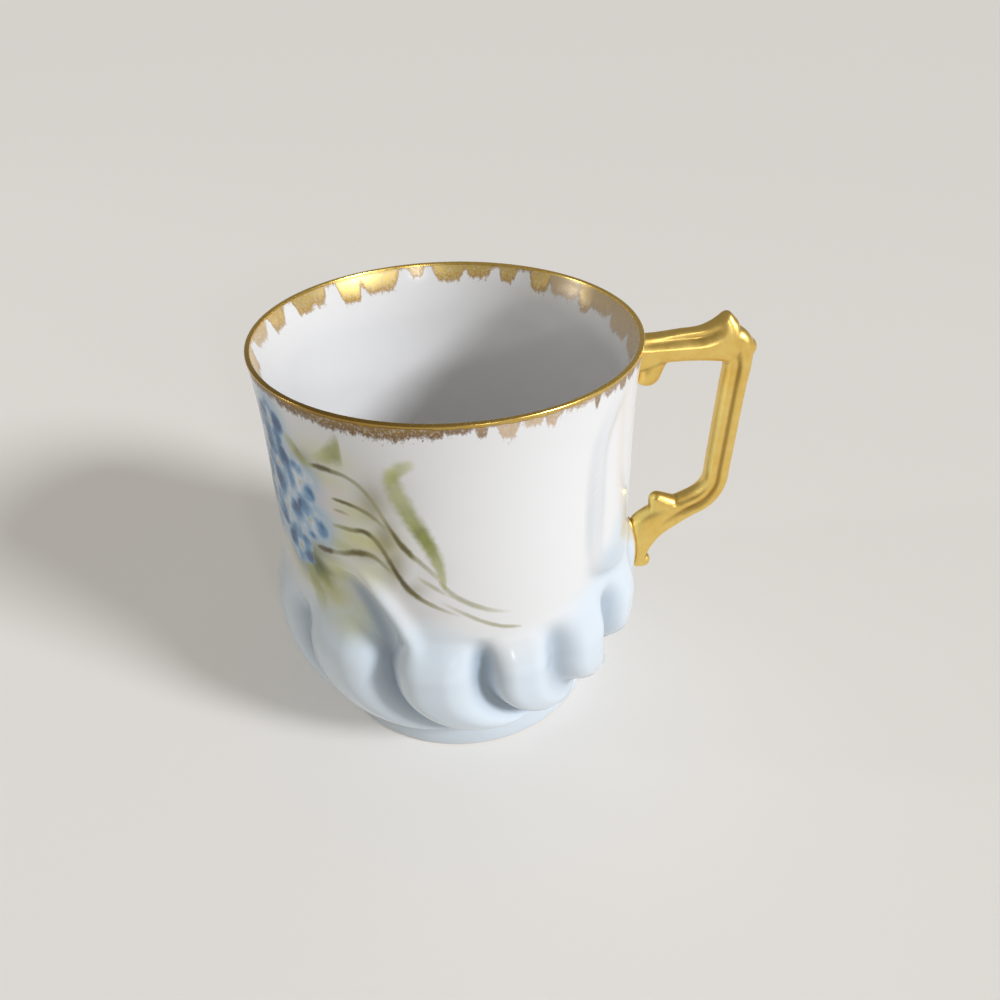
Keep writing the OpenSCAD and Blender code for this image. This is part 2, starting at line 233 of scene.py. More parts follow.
def smooth_line(points: np.ndarray, parts: int) -> np.ndarray:
    """Run a smooth curve through points.

    Args:
        points: one row of numbers for each point.
        parts: number of short pieces between two points.

    Returns:
        The rows along the curve, from the first point to the last.
    """
    padded = np.vstack([2 * points[0] - points[1], points, 2 * points[-1] - points[-2]])
    u = np.linspace(0, len(points) - 1, (len(points) - 1) * parts + 1)
    i = np.minimum(u.astype(int), len(points) - 2)
    t = (u - i)[:, None]
    p, q, r, s = padded[i], padded[i + 1], padded[i + 2], padded[i + 3]
    return 0.5 * (
        2 * q + t * (r - p) + t**2 * (2 * p - 5 * q + 4 * r - s) + t**3 * (3 * q - p - 3 * r + s)
    )


def spun_mesh(outline: Sequence[tuple[float, float]], steps: int) -> bmesh.types.BMesh:
    """Spin an outline round the cup's axis.

    Args:
        outline: radius and height of each point, in millimetres.
        steps: number of steps in the full turn.

    Returns:
        A closed mesh in millimetres, with its normals outwards.
    """
    shape = bmesh.new()
    points = [shape.verts.new((radius, 0, height)) for radius, height in outline]
    edges = [shape.edges.new(pair) for pair in zip(points, points[1:])]
    bmesh.ops.spin(
        shape,
        geom=[*points, *edges],
        cent=(0, 0, 0),
        axis=(0, 0, 1),
        angle=math.tau,
        steps=steps,
        use_merge=True,
    )
    bmesh.ops.remove_doubles(shape, verts=shape.verts, dist=WELD)
    bmesh.ops.recalc_face_normals(shape, faces=shape.faces)
    return shape


def read_points(mesh: bpy.types.Mesh) -> np.ndarray:
    """Read the vertices of a mesh.

    Args:
        mesh: the mesh.

    Returns:
        One row of coordinates for each vertex.
    """
    points = np.zeros(len(mesh.vertices) * 3)
    mesh.vertices.foreach_get("co", points)
    return points.reshape(-1, 3)


def write_points(mesh: bpy.types.Mesh, points: np.ndarray) -> None:
    """Move the vertices of a mesh to these rows."""
    mesh.vertices.foreach_set("co", points.ravel())
    mesh.update()


def write_attribute(mesh: bpy.types.Mesh, name: str, values: np.ndarray) -> None:
    """Give each vertex of a mesh one number under this name."""
    mesh.attributes.new(name, "FLOAT", "POINT").data.foreach_set("value", values.astype(np.float32))


def to_mesh(shape: bmesh.types.BMesh, name: str) -> bpy.types.Mesh:
    """Turn a bmesh into a mesh and free it.

    Args:
        shape: the bmesh.
        name: name of the mesh.

    Returns:
        The mesh.
    """
    mesh = bpy.data.meshes.new(name)
    shape.to_mesh(mesh)
    shape.free()
    return mesh


def link_object(name: str, data: bpy.types.ID) -> bpy.types.Object:
    """Put a new object into the scene.

    Args:
        name: name of the object.
        data: its mesh, light or camera.

    Returns:
        The object.
    """
    thing = bpy.data.objects.new(name, data)
    bpy.context.scene.collection.objects.link(thing)
    return thing


def place_piece(
    mesh: bpy.types.Mesh, name: str, node: str, material: bpy.types.Material
) -> None:
    """Make a finished piece of a mesh in millimetres and tie it to the frame.

    Args:
        mesh: the piece's mesh, in millimetres.
        name: the piece's name.
        node: the solid that it stands for.
        material: its finish.
    """
    mesh.transform(Matrix.Scale(MM, 4))
    mesh.polygons.foreach_set("use_smooth", [True] * len(mesh.polygons))
    mesh.materials.clear()
    mesh.materials.append(material)
    piece = link_object(name, mesh)
    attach(piece, BODY)
    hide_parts(node)
    log.info("%s stands for %s with %d faces", name, node, len(mesh.polygons))


# Sizes


@dataclass(frozen=True)
class CupSizes:
    """Sizes of the cup in millimetres. Those without a value here come from the frame."""

    cup_h: float
    rim_r: float
    foot_h: float
    foot_r: float
    throat_r: float = 28.1
    throat_drop: float = 9.0
    wall_r: float = 28.6
    shoulder_z: float = 36.0
    shoulder_dip: float = 5.0
    shoulder_rise: float = 2.4
    under_power: float = 0.6
    wall_t: float = 2.0
    lip_t: float = 0.6
    lip_flat: float = 0.2
    gilt_t: float = 0.08
    floor_t: float = 2.6
    floor_fillet: float = 12.0
    least_wall: float = 1.0
    gadroon_r: float = 31.6
    gadroon_z: float = 21.0
    neck_r: float = 23.2
    # Heights closer than this count as one
    slack: float = 0.01

    @classmethod
    def from_frame(cls) -> "CupSizes":
        """Take the main sizes from the boxes of the frame's solids.

        Returns:
            The cup's sizes.
        """
        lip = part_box("rim_gilding")[1] / MM
        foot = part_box("foot_ring")[1] / MM
        return cls(cup_h=lip.z, rim_r=lip.x, foot_h=foot.z, foot_r=foot.x)

    @property
    def lip_r(self) -> float:
        """Return the radius of the porcelain under the gilded lip."""
        return self.rim_r - self.gilt_t

    @property
    def lip_z(self) -> float:
        """Return the height of the porcelain under the gilded lip."""
        return self.cup_h - self.gilt_t

    @property
    def lip_edge(self) -> float:
        """Return the rounding of the lip."""
        return (self.lip_t - self.lip_flat) / 2

    @property
    def lip_edge_z(self) -> float:
        """Return the height at which the lip starts to round over."""
        return self.lip_z - self.lip_edge

    @property
    def throat_z(self) -> float:
        """Return the height of the narrowest part of the wall."""
        return self.cup_h - self.throat_drop

    @property
    def floor_z(self) -> float:
        """Return the height of the floor inside."""
        return self.foot_h + self.floor_t

    def flare(self, z: np.ndarray) -> np.ndarray:
        """Return how far the lip has flared at height z, from 0 at the throat to 1."""
        return np.clip((z - self.throat_z) / (self.lip_edge_z - self.throat_z), 0, 1) ** 2

    def waist(self, z: np.ndarray) -> np.ndarray:
        """Return how far the wall has drawn in at height z, from 0 at the shoulder to 1 at the throat."""
        return ease((z - self.shoulder_z) / (self.throat_z - self.shoulder_z))

    def crest_r(self, z: np.ndarray, tight: np.ndarray | float = 0.0) -> np.ndarray:
        """Work out the radius over the crests, the wall and the lip, up to the lip's edge.

        Args:
            z: height in millimetres.
            tight: how tightly the shoulder rounds over, from 0 by the handle to 1 in front.

        Returns:
            Radius in millimetres.
        """
        depth = (self.gadroon_z - z) / (self.gadroon_z - self.foot_h)
        under = np.clip(1 - depth**2, 0, 1) ** self.under_power
        belly = self.neck_r + (self.gadroon_r - self.neck_r) * under
        start = self.gadroon_z + self.shoulder_rise * tight
        end = self.shoulder_z - self.shoulder_dip * tight
        above = self.gadroon_r + (self.wall_r - self.gadroon_r) * glide((z - start) / (end - start))
        above = above + (self.throat_r - self.wall_r) * self.waist(z)
        above = above + (self.lip_r - self.throat_r) * self.flare(z)
        return np.where(z < self.gadroon_z, belly, above)

    def inner_r(self, z: np.ndarray) -> np.ndarray:
        """Work out the radius of the inside.

        Args:
            z: height in millimetres.

        Returns:
            Radius in millimetres, 0 below the floor.
        """
        drop = np.clip(self.floor_z + self.floor_fillet - z, 0, self.floor_fillet)
        fillet = np.sqrt(self.floor_fillet**2 - drop**2) - self.floor_fillet
        mouth = self.lip_r - self.lip_t - self.throat_r + self.wall_t
        inside = self.wall_r - self.wall_t + fillet + (self.throat_r - self.wall_r) * self.waist(z)
        return np.where(z < self.floor_z - self.slack, 0, inside + mouth * self.flare(z))

    def lip_round(self, rows: int, grown: float = 0.0) -> list[tuple[float, float]]:
        """Work out the outline over the lip's two rounded edges, from the outer face to the inner one.

        Args:
            rows: number of points on each edge.
            grown: how far the outline stands off the porcelain.

        Returns:
            Radius and height of each point, in millimetres.
        """
        reach = self.lip_edge + grown
        outer, inner = self.lip_r - self.lip_edge, self.lip_r - self.lip_t + self.lip_edge
        points = []
        for centre, start in ((outer, 0.0), (inner, np.pi / 2)):
            turn = np.linspace(start, start + np.pi / 2, rows)
            points += zip(centre + reach * np.cos(turn), self.lip_edge_z + reach * np.sin(turn))
        return points


# Painting


@dataclass(frozen=True)
class Stroke:
    """One pull of the brush on the wall, laid flat in millimetres from the front and up.

    Each point has its place along the run and across it, the half width there, and how strong the
    colour is, from 0 to 1.
    """

    run: Run
    points: tuple[tuple[float, float, float, float], ...]

    @property
    def ends(self) -> tuple[float, float]:
        """Return where the run starts and ends."""
        return self.points[0][0], self.points[-1][0]

    def curves(self) -> list[list[tuple[float, float]]]:
        """Work out the stroke's form over its run.

        Returns:
            Curves of its place, its reach across and its strength, all of them from 0 to 1.
        """
        along, across, width, strength = np.array(self.points, float).T
        share = (along - along[0]) / (along[-1] - along[0])
        reach = width * np.hypot(1, np.gradient(across, along))
        values = ((across - FLAT_LOW) / FLAT_SPAN, reach / WIDEST_STROKE, strength)
        return [[(float(x), float(y)) for x, y in zip(share, value)] for value in values]


@dataclass(frozen=True)
class Patch:
    """A soft patch of thin colour: its place on the flat wall, its half sizes and its strength."""

    along: float
    up: float
    half_w: float
    half_h: float
    strength: float


@dataclass(frozen=True)
class Flower:
    """A small five-petalled flower: its place, its radius, how far it is turned and how deep its blue."""

    along: float
    up: float
    radius: float
    turn: float
    depth: float


@dataclass
class FlowerSpray:
    """A loose spray of small blue flowers, with stems that sweep down round the wall, and some leaves."""

    wall_r: float
    # Width of the soft edge of a petal, and how far the pale wash reaches past a flower
    edge: float = 2.0
    wash_reach: float = 2.0
    # The petals: their number, and as shares of the flower's radius how large and how far out each is
    petals: int = 5
    petal_r: float = 0.46
    petal_vary: float = 0.07
    petal_out: float = 0.58
    # How the pigment pools in a petal: outwards from its middle, to one side, and from petal to petal
    pool_out: float = 0.45
    pool_middle: float = 0.55
    pool_side: float = 0.5
    pool_vary: float = 0.42
    # Steps in radians from one petal to the next, by which sizes and pools vary
    size_beat: float = 1.9
    pool_beat: float = 2.4
    # The pale heart, the eye, and how far a flower hides the eyes below it, as shares of its radius
    heart_r: float = 0.26
    heart_pale: float = 0.8
    eye_r: float = 0.08
    eye_strength: float = 0.9
    hidden_r: float = 0.9
    stems: tuple[Stroke, ...] = (
        Stroke(Run.ROUND, (
            (-21, 56.5, 0.15, 0), (-20, 56.6, 0.28, 0.6), (-18.5, 56.8, 0.42, 0.9),
            (-16.5, 56.8, 0.34, 0.65), (-14, 56.4, 0.28, 0.5), (-12, 55, 0.3, 0.45),
            (-10.5, 52.8, 0.28, 0.4), (-9, 49.8, 0.3, 0.6), (-7.5, 47.2, 0.42, 0.85), (-5.5, 45, 0.36, 0.5),
            (-3.5, 42.8, 0.3, 0.35), (-2, 40.6, 0.25, 0),
        )),
        Stroke(Run.ROUND, (
            (-17.4, 52.4, 0.15, 0), (-16.4, 52.4, 0.25, 0.7), (-14.5, 52.3, 0.28, 0.7),
            (-12.5, 51.8, 0.3, 0.55), (-11, 51, 0.3, 0.5), (-9, 49, 0.25, 0),
        )),
        Stroke(Run.ROUND, ((-17.5, 50.6, 0.15, 0), (-16.5, 50.7, 0.22, 0.45), (-14.5, 50.5, 0.15, 0))),
        Stroke(Run.ROUND, (
            (-18, 48, 0.2, 0), (-16.5, 48.1, 0.3, 0.5), (-14.5, 48.2, 0.35, 0.6), (-12.5, 48.4, 0.38, 0.75),
            (-11, 47.2, 0.36, 0.6), (-9.5, 44.4, 0.36, 0.7), (-8, 41.2, 0.45, 0.9), (-6.5, 39.2, 0.42, 0.8),
            (-5, 37.9, 0.36, 0.6), (-3, 36.6, 0.3, 0.45), (0, 35, 0.2, 0),
        )),
        Stroke(Run.ROUND, (
            (-21.8, 42.7, 0.2, 0), (-20.8, 42.8, 0.42, 0.9), (-19.5, 43, 0.5, 1), (-18, 43.3, 0.34, 0.5),
            (-16.5, 43.7, 0.4, 0.6), (-14, 44.6, 0.5, 0.75), (-11.8, 44.6, 0.4, 0.6), (-10, 43.2, 0.3, 0.4),
            (-8.2, 41.2, 0.25, 0),
        )),
        Stroke(Run.ROUND, (
            (-6, 42.2, 0.2, 0), (-4, 40.8, 0.32, 0.4), (-2, 39.2, 0.25, 0.2), (-1, 38.6, 0.2, 0),
        )),
        Stroke(Run.ROUND, (
            (-3, 38, 0.2, 0), (0.5, 35.4, 0.3, 0.4), (3, 33.6, 0.32, 0.45), (5.5, 32.2, 0.32, 0.5),
            (7.6, 31.5, 0.26, 0.4), (8.6, 31.2, 0.15, 0),
        )),
        Stroke(Run.ROUND, (
            (-3, 41.5, 0.25, 0), (-2, 40.2, 0.36, 0.4), (-0.5, 38.6, 0.38, 0.45), (2, 36.8, 0.4, 0.45),
            (4.5, 35.5, 0.32, 0.3), (7.2, 34.6, 0.2, 0),
        )),
    )
    leaves: tuple[Stroke, ...] = (
        Stroke(Run.UP, (
            (40, -2.1, 0.15, 0), (41.5, -2.3, 0.35, 0.5), (44.6, -2.9, 0.75, 0.6), (48.4, -4.3, 1, 0.75),
            (51.6, -5.9, 1.15, 0.65), (54.4, -7.2, 1.2, 0.55), (57.4, -8, 1.05, 0.5), (59.2, -8, 0.7, 0),
        )),
        Stroke(Run.ROUND, (
            (-9, 57, 0.4, 0), (-7.8, 58.2, 0.9, 0.45), (-6.2, 59.3, 0.8, 0.45), (-4.6, 59.8, 0.5, 0),
        )),
        Stroke(Run.ROUND, (
            (-20.8, 57.5, 0.2, 0), (-18, 58.6, 0.8, 0.4), (-16, 59.8, 1.4, 0.6), (-15, 60.3, 1.8, 0.6),
            (-14.5, 60.3, 1.6, 0),
        )),
        Stroke(Run.UP, (
            (34.4, -20.6, 0.6, 0), (37, -22, 1.6, 0.8), (39.4, -23, 2, 1), (42.8, -24.6, 1.2, 0),
        )),
        Stroke(Run.UP, (
            (29.5, -22.6, 0.6, 0), (33, -23.4, 1.4, 0.5), (36, -24, 1.2, 0.6), (39, -24.6, 0.6, 0),
        )),
        Stroke(Run.ROUND, (
            (-26, 59.4, 0.3, 0), (-24, 58.4, 0.8, 0.5), (-22, 57, 0.7, 0.6), (-20.4, 56.2, 0.3, 0),
        )),
    )
    flowers: tuple[Flower, ...] = (
        Flower(-43, 57, 4.0, 10, 0.4),
        Flower(-44.5, 48.5, 4.2, 40, 0.3),
        Flower(-41.5, 41, 3.8, 25, 0.55),
        Flower(-36, 59.4, 4.0, 55, 0.65),
        Flower(-29.2, 59.6, 3.7, 15, 0.75),
        Flower(-23.4, 52.6, 3.2, 30, 0.2),
        Flower(-36.5, 50.5, 4.4, 60, 0.6),
        Flower(-35.5, 43.2, 4.2, 0, 0.35),
        Flower(-22.4, 46.8, 3.3, 50, 0.4),
        Flower(-28.6, 46, 4.0, 20, 0.5),
        Flower(-26, 40.6, 3.4, 35, 0.8),
        Flower(-29, 53, 4.1, 45, 0.85),
    )
    green_patches: tuple[Patch, ...] = (
        Patch(-14.5, 51, 4, 2.2, 0.55), Patch(-13.5, 46.8, 5, 2.3, 0.8), Patch(-17, 45.2, 5, 1.6, 0.8),
        Patch(-19, 55, 4.5, 1.8, 0.55), Patch(-19.5, 39.5, 4.5, 3, 0.9), Patch(-20, 34.6, 4, 3.4, 0.7),
        Patch(-15.5, 33, 2.6, 2.8, 0.45), Patch(-12.5, 41.8, 3.5, 2.2, 0.45), Patch(-25, 36, 4.5, 3, 0.8),
        Patch(-36, 36.5, 6, 2.5, 0.5), Patch(-17.5, 58.5, 4, 2.2, 0.5), Patch(-17, 30.5, 4, 2.5, 0.45),
    )
    olive_patches: tuple[Patch, ...] = (
        Patch(-24, 38.5, 4.2, 3.6, 0.95), Patch(-21.5, 42, 3, 1.6, 0.7), Patch(-21.5, 35, 3, 2.6, 0.5),
        Patch(-11, 53, 2, 3, 0.65), Patch(-9.6, 48, 1.8, 3.4, 0.75), Patch(-8.8, 43.6, 1.7, 3.2, 0.7),
        Patch(-6.4, 39.8, 2, 1.6, 0.5), Patch(-22, 57, 2.8, 1.5, 0.6), Patch(-13.5, 44.4, 3.5, 1, 0.5),
    )
    # Soft grey beside the stems and on the panel's left: partly the painter's grey wash, partly painted shade
    shade_patches: tuple[Patch, ...] = (
        Patch(-9.5, 54, 4.5, 5, 0.6), Patch(-9, 46, 3.5, 5, 0.5), Patch(-4.5, 43, 3, 3, 0.3),
        Patch(-6.5, 36, 5, 2.5, 0.35), Patch(-22, 58, 3, 3, 0.3),
    )
    pink_patches: tuple[Patch, ...] = (
        Patch(-17.2, 53.6, 1.6, 1.1, 0.7), Patch(-16.4, 50.2, 1.3, 0.9, 0.8), Patch(-19.2, 51.6, 2, 1.3, 0.6),
    )

    def flatten(self, azimuth: np.ndarray) -> np.ndarray:
        """Return how far round the wall places lie from the front, in millimetres, with the seam behind."""
        return np.radians(wrap(azimuth - FRONT)) * self.wall_r

    def soft_mask(self, gap: np.ndarray) -> np.ndarray:
        """Return 1 well inside a petal and 0 well outside it, 0.5 on its edge."""
        return ease(0.5 - gap / self.edge)

    def paint_flowers(self, along: np.ndarray, up: np.ndarray) -> dict[str, np.ndarray]:
        """Lay the flowers on the wall, the later ones over the earlier.

        Args:
            along: millimetres round the wall from the front.
            up: millimetres above the table.

        Returns:
            The mask of the petals, how deep their blue is, the mask of the eyes and of the wash behind.
        """
        mask, depth, eyes, behind = np.zeros((4, len(up)))
        for flower in self.flowers:
            x, y = along - flower.along, up - flower.up
            from_middle = np.hypot(x, y)
            past = np.clip(from_middle - flower.radius, 0, None)
            behind = np.maximum(behind, bell(past / self.wash_reach))
            for petal in range(self.petals):
                angle = math.radians(flower.turn + 360 / self.petals * petal)
                out = (x * math.cos(angle) + y * math.sin(angle)) / flower.radius
                side = (y * math.cos(angle) - x * math.sin(angle)) / flower.radius
                # No two petals have the same size, and the pigment pools on one side of each
                size = self.petal_r + self.petal_vary * math.sin(self.size_beat * petal + flower.turn)
                from_petal = np.hypot(out - self.petal_out, side) / size
                cover = self.soft_mask((from_petal - 1) * flower.radius * size)
                pooled = self.pool_out * (out - self.pool_middle) + self.pool_side * side
                pooled = pooled + self.pool_vary * math.sin(self.pool_beat * petal + flower.turn)
                depth = depth + (np.clip(flower.depth + pooled, 0, 1) - depth) * cover
                mask = np.maximum(mask, cover)
            heart, hidden, eye = (
                self.soft_mask(from_middle - share * flower.radius)
                for share in (self.heart_r, self.hidden_r, self.eye_r)
            )
            depth = depth * (1 - self.heart_pale * heart)
            eyes = np.maximum(eyes * (1 - hidden), self.eye_strength * eye)
        return {"petal": mask, "petal_depth": depth, "eye": eyes, "blue_wash": behind}

    def paint_patches(self, patches: Sequence[Patch], along: np.ndarray, up: np.ndarray) -> np.ndarray:
        """Lay some soft patches of one thin colour on the wall.

        Args:
            patches: the patches.
            along: millimetres round the wall from the front.
            up: millimetres above the table.

        Returns:
            How strong the colour is, from 0 to 1.
        """
        strength = np.zeros(len(up))
        for patch in patches:
            away = ((along - patch.along) / patch.half_w) ** 2 + ((up - patch.up) / patch.half_h) ** 2
            strength = np.maximum(strength, patch.strength * np.exp(-away))
        return strength

    def layers(self, along: np.ndarray, up: np.ndarray) -> dict[str, np.ndarray]:
        """Work out every soft paint layer at places on the flat wall.

        Args:
            along: millimetres round the wall from the front.
            up: millimetres above the table.

        Returns:
            One array for each layer's name.
        """
        washes = {
            "green_wash": self.green_patches,
            "olive_wash": self.olive_patches,
            "shade_wash": self.shade_patches,
            "pink_wash": self.pink_patches,
        }
        soft = {name: self.paint_patches(patches, along, up) for name, patches in washes.items()}
        return self.paint_flowers(along, up) | soft


# Finishes


@dataclass(frozen=True)
class GildTones:
    """Hex tones of fired gold: burnished, plain, and the dark brown of worn gold and of painted shade in
    hollows.
    """

    bright: str = "#FBDD86"
    plain: str = "#F0C766"
    # Dark brown: worn and thin gold on the lip, and duller gold with painted shade in the handle's hollows
    hollow: str = "#704C16"


@dataclass(frozen=True)
class PaintedPorcelain:
    """Hard-paste porcelain, cast, glazed and painted over the glaze.

    It gives the eye a cool white with a wet gloss, a pale blue ground laid over the gadroons, soft
    washes and brush lines, and dabbed gold that thins out to brown specks below the lip.
    """

    name: str = "glazed_porcelain"
    white: str = "#EDEEF0"
    blue_ground: str = "#DCE8F3"
    # Blue-grey in the grooves and beside the fine lines: partly glaze that pools there, partly painted shade
    pooled: str = "#8497AA"
    # Thin colours in the order in which they are laid; the grey one is partly the painter's grey wash and
    # partly painted shade
    washes: tuple[tuple[str, str], ...] = (
        ("shade_wash", "#C6C1C0"), ("green_wash", "#D3D470"), ("blue_wash", "#B5CFE6"),
        ("pink_wash", "#EBDDE1"), ("olive_wash", "#827C44"),
    )
    stem_stops: Stops = (
        (0.0, "#B9B57C"), (0.45, "#8C8836"), (0.7, "#6C6418"), (1.0, "#483A06"),
    )
    leaf_stops: Stops = (
        (0.0, "#D2D499"), (0.4, "#B0B45C"), (0.7, "#8E933A"), (1.0, "#566020"),
    )
    petal_stops: Stops = (
        (0.0, "#DDE7F1"), (0.25, "#B0CBE4"), (0.5, "#76A4CE"), (0.75, "#457CB0"), (1.0, "#215086"),
    )
    eye_stops: Stops = ((0.3, "#DDBE78"), (1.0, "#96682F"))
    # Gold below the lip, from a thin lustre to a full dab, on the inside and on the outside
    inner_gilt: Stops = ((0.3, "#C6A268"), (0.8, "#B28A42"), (1.0, "#A67C33"))
    outer_gilt: Stops = ((0.3, "#C99F5A"), (0.8, "#8D632C"), (1.0, "#6E4A20"))
    tones: GildTones = GildTones()
    glaze_ior: float = 1.52
    glaze_roughness: float = 0.16
    gold_roughness: float = 0.36
    # Sizes in millimetres of the glaze's drifts, the brush's tremble, pools, bristles, grain and specks
    noise_mm: tuple[tuple[str, float], ...] = (
        ("drift", 9.0), ("tremble", 0.9), ("pool", 2.2), ("bristle", 0.5), ("grain", 0.35), ("speck", 0.28),
    )
    noise_detail: float = 3.0
    # The bristles' streaks are longer upright than across
    bristle_scale: tuple[float, float, float] = (1.0, 1.0, 0.3)
    # The glaze lies in very shallow waves, as glaze does that has run a little in the kiln
    wave_h: float = 0.05
    wave_strength: float = 0.2
    # How the drifts thin a wash
    wash_drift: Span = (0.25, 0.75, 0.7, 1.0)
    # A stroke: its least half width, how far its edge trembles, where that edge lies, how its strength
    # fills it, how much its pools darken it, and the tones that this gives
    stroke_least: float = 0.01
    stroke_shake: float = 0.7
    stroke_edge: Span = (2.0, 0.7, 0.0, 1.0)
    stroke_fill: Span = (0.0, 0.75, 0.0, 0.95)
    stroke_pool: float = 0.5
    stroke_tone: Span = (0.25, 1.25, 0.0, 1.0)
    # A petal: how far its edge trembles, where that edge lies, how much its pools darken it, and the tones
    petal_shake: float = 0.5
    petal_edge: Span = (0.35, 1.1, 0.0, 1.0)
    petal_pool: float = 1.2
    petal_tone: Span = (0.6, 1.6, 0.0, 1.0)
    # A dab of gold: what breaks its edge and by how many millimetres, the specks, and where its edge lies
    dab_breaks: tuple[tuple[str, float], ...] = (("bristle", 1.6), ("pool", 1.3), ("grain", 0.9))
    dab_specks: Span = (0.6, 0.75, 0.0, 1.1)
    dab_edge: Span = (0.25, -0.25, 0.0, 1.0)
    # How well a thin dab and a grainy one cover, how far in a dab lies thick, and how much of that is
    # bright metal inside the cup and outside, and how streaked its thin gold is
    dab_cover: Span = (0.0, 1.0, 0.65, 1.0)
    dab_grain: Span = (0.38, 0.48, 0.7, 1.0)
    dab_thick: Span = (0.0, -1.6, 0.0, 1.0)
    dab_bright: Span = (0.0, 1.0, 0.9, 0.25)
    dab_streak: float = 0.6

    def spread_noise(self, node: Maker, place: Socket) -> Sockets:
        """Make the noises that break up the glaze, the paint and the gold.

        Args:
            node: add_node for the material's tree.
            place: the surface's own coordinates.

        Returns:
            A noise from 0 to 1 for each name.
        """
        streaked = node("Mapping", {"Vector": place, "Scale": self.bristle_scale})
        noise = {}
        for mark, size in self.noise_mm:
            vector = streaked if mark == "bristle" else place
            inputs = {"Vector": vector, "Scale": per_metre(size), "Detail": self.noise_detail}
            noise[mark] = node("TexNoise", inputs)
        return noise

    def lay_flat(self, node: Maker, place: Socket, wall_r: float) -> dict[Run, Socket]:
        """Lay the wall flat.

        Args:
            node: add_node for the material's tree.
            place: the surface's own coordinates.
            wall_r: the wall's radius in millimetres.

        Returns:
            Millimetres round the wall from the front, with the seam behind, and up it.
        """
        x, y, z = node("SeparateXYZ", (place,)).node.outputs
        towards = node("Math", (y, -1.0), operation="MULTIPLY")
        turn = node("Math", (x, towards), operation="ARCTAN2")
        return {
            Run.ROUND: node("Math", (turn, wall_r), operation="MULTIPLY"),
            Run.UP: node("Math", (z, 1 / MM), operation="MULTIPLY"),
        }

    def pull_stroke(
        self, node: Maker, stroke: Stroke, flat: dict[Run, Socket], tremble: Socket
    ) -> tuple[Socket, Socket]:
        """Pull one stroke of the brush over the wall.

        Args:
            node: add_node for the material's tree.
            stroke: the stroke.
            flat: places on the flat wall in millimetres, round it and up it.
            tremble: noise from 0 to 1 that breaks the stroke's edge.

        Returns:
            How much the stroke covers, and how strong its colour is.
        """
        across = Run.UP if stroke.run is Run.ROUND else Run.ROUND
        share = node("MapRange", (flat[stroke.run], *stroke.ends))
        form = node("RGBCurve", {"Color": share}, curves=stroke.curves())
        place, reach, strength = node("SeparateColor", (form,)).node.outputs
        middle = node("Math", (place, FLAT_SPAN, FLAT_LOW), operation="MULTIPLY_ADD")
        width = node("Math", (reach, WIDEST_STROKE, self.stroke_least), operation="MULTIPLY_ADD")
        off = node("Math", (flat[across], middle), operation="SUBTRACT")
        ratio = node("Math", (off, width), operation="DIVIDE")
        away = node("Math", (ratio,), operation="ABSOLUTE")
        shaken = node("Math", (tremble, self.stroke_shake, away), operation="MULTIPLY_ADD")
        inside = node("MapRange", (shaken, *self.stroke_edge), interpolation_type="SMOOTHSTEP")
        filled = node("MapRange", (strength, *self.stroke_fill))
        return node("Math", (inside, filled), operation="MULTIPLY"), strength

    def paint(
        self, node: Maker, spray: FlowerSpray, place: Socket, noise: Sockets, stored: Sockets
    ) -> Socket:
        """Tint the porcelain and paint the spray on its outside.

        Args:
            node: add_node for the material's tree.
            spray: the flowers, stems and leaves to paint.
            place: the surface's own coordinates.
            noise: the noises by name.
            stored: what the mesh holds by name.

        Returns:
            The colour under the gold.
        """
        ground = {FACTOR: stored["blue_ground"], UNDER: linear(self.white), OVER: linear(self.blue_ground)}
        bare = node("Mix", ground, MIXED, data_type="RGBA")
        cloudy = node("MapRange", (noise["drift"], *self.wash_drift))
        tremble, pool = noise["tremble"], noise["pool"]
        # How much each layer covers, and its colour, from the first that is laid to the last
        layers = []
        for name, tone in self.washes:
            cover = node("Math", (stored[name], cloudy), operation="MULTIPLY")
            layers.append((cover, linear(tone)))
        # The grooves and the lines' flanks get their pooled glaze and painted shade
        layers.append((stored["hollow"], linear(self.pooled)))
        flat = self.lay_flat(node, place, spray.wall_r)
        for strokes, stops in ((spray.leaves, self.leaf_stops), (spray.stems, self.stem_stops)):
            for stroke in strokes:
                cover, strength = self.pull_stroke(node, stroke, flat, tremble)
                uneven = node("Math", (pool, self.stroke_pool, strength), operation="MULTIPLY_ADD")
                tone = node("MapRange", (uneven, *self.stroke_tone))
                layers.append((cover, node("ValToRGB", (tone,), stops=stops)))
        petals = ("petal", "petal_depth", self.petal_stops)
        eyes = ("eye", "eye", self.eye_stops)
        for name, depth, stops in (petals, eyes):
            shaken = node("Math", (tremble, self.petal_shake, stored[name]), operation="MULTIPLY_ADD")
            cover = node("MapRange", (shaken, *self.petal_edge), interpolation_type="SMOOTHSTEP")
            uneven = node("Math", (pool, self.petal_pool, stored[depth]), operation="MULTIPLY_ADD")
            tone = node("MapRange", (uneven, *self.petal_tone))
            layers.append((cover, node("ValToRGB", (tone,), stops=stops)))
        colour = bare
        for cover, tone in layers:
            colour = node("Mix", {FACTOR: cover, UNDER: colour, OVER: tone}, MIXED, data_type="RGBA")
        return node("Mix", {FACTOR: stored["outside"], UNDER: bare, OVER: colour}, MIXED, data_type="RGBA")

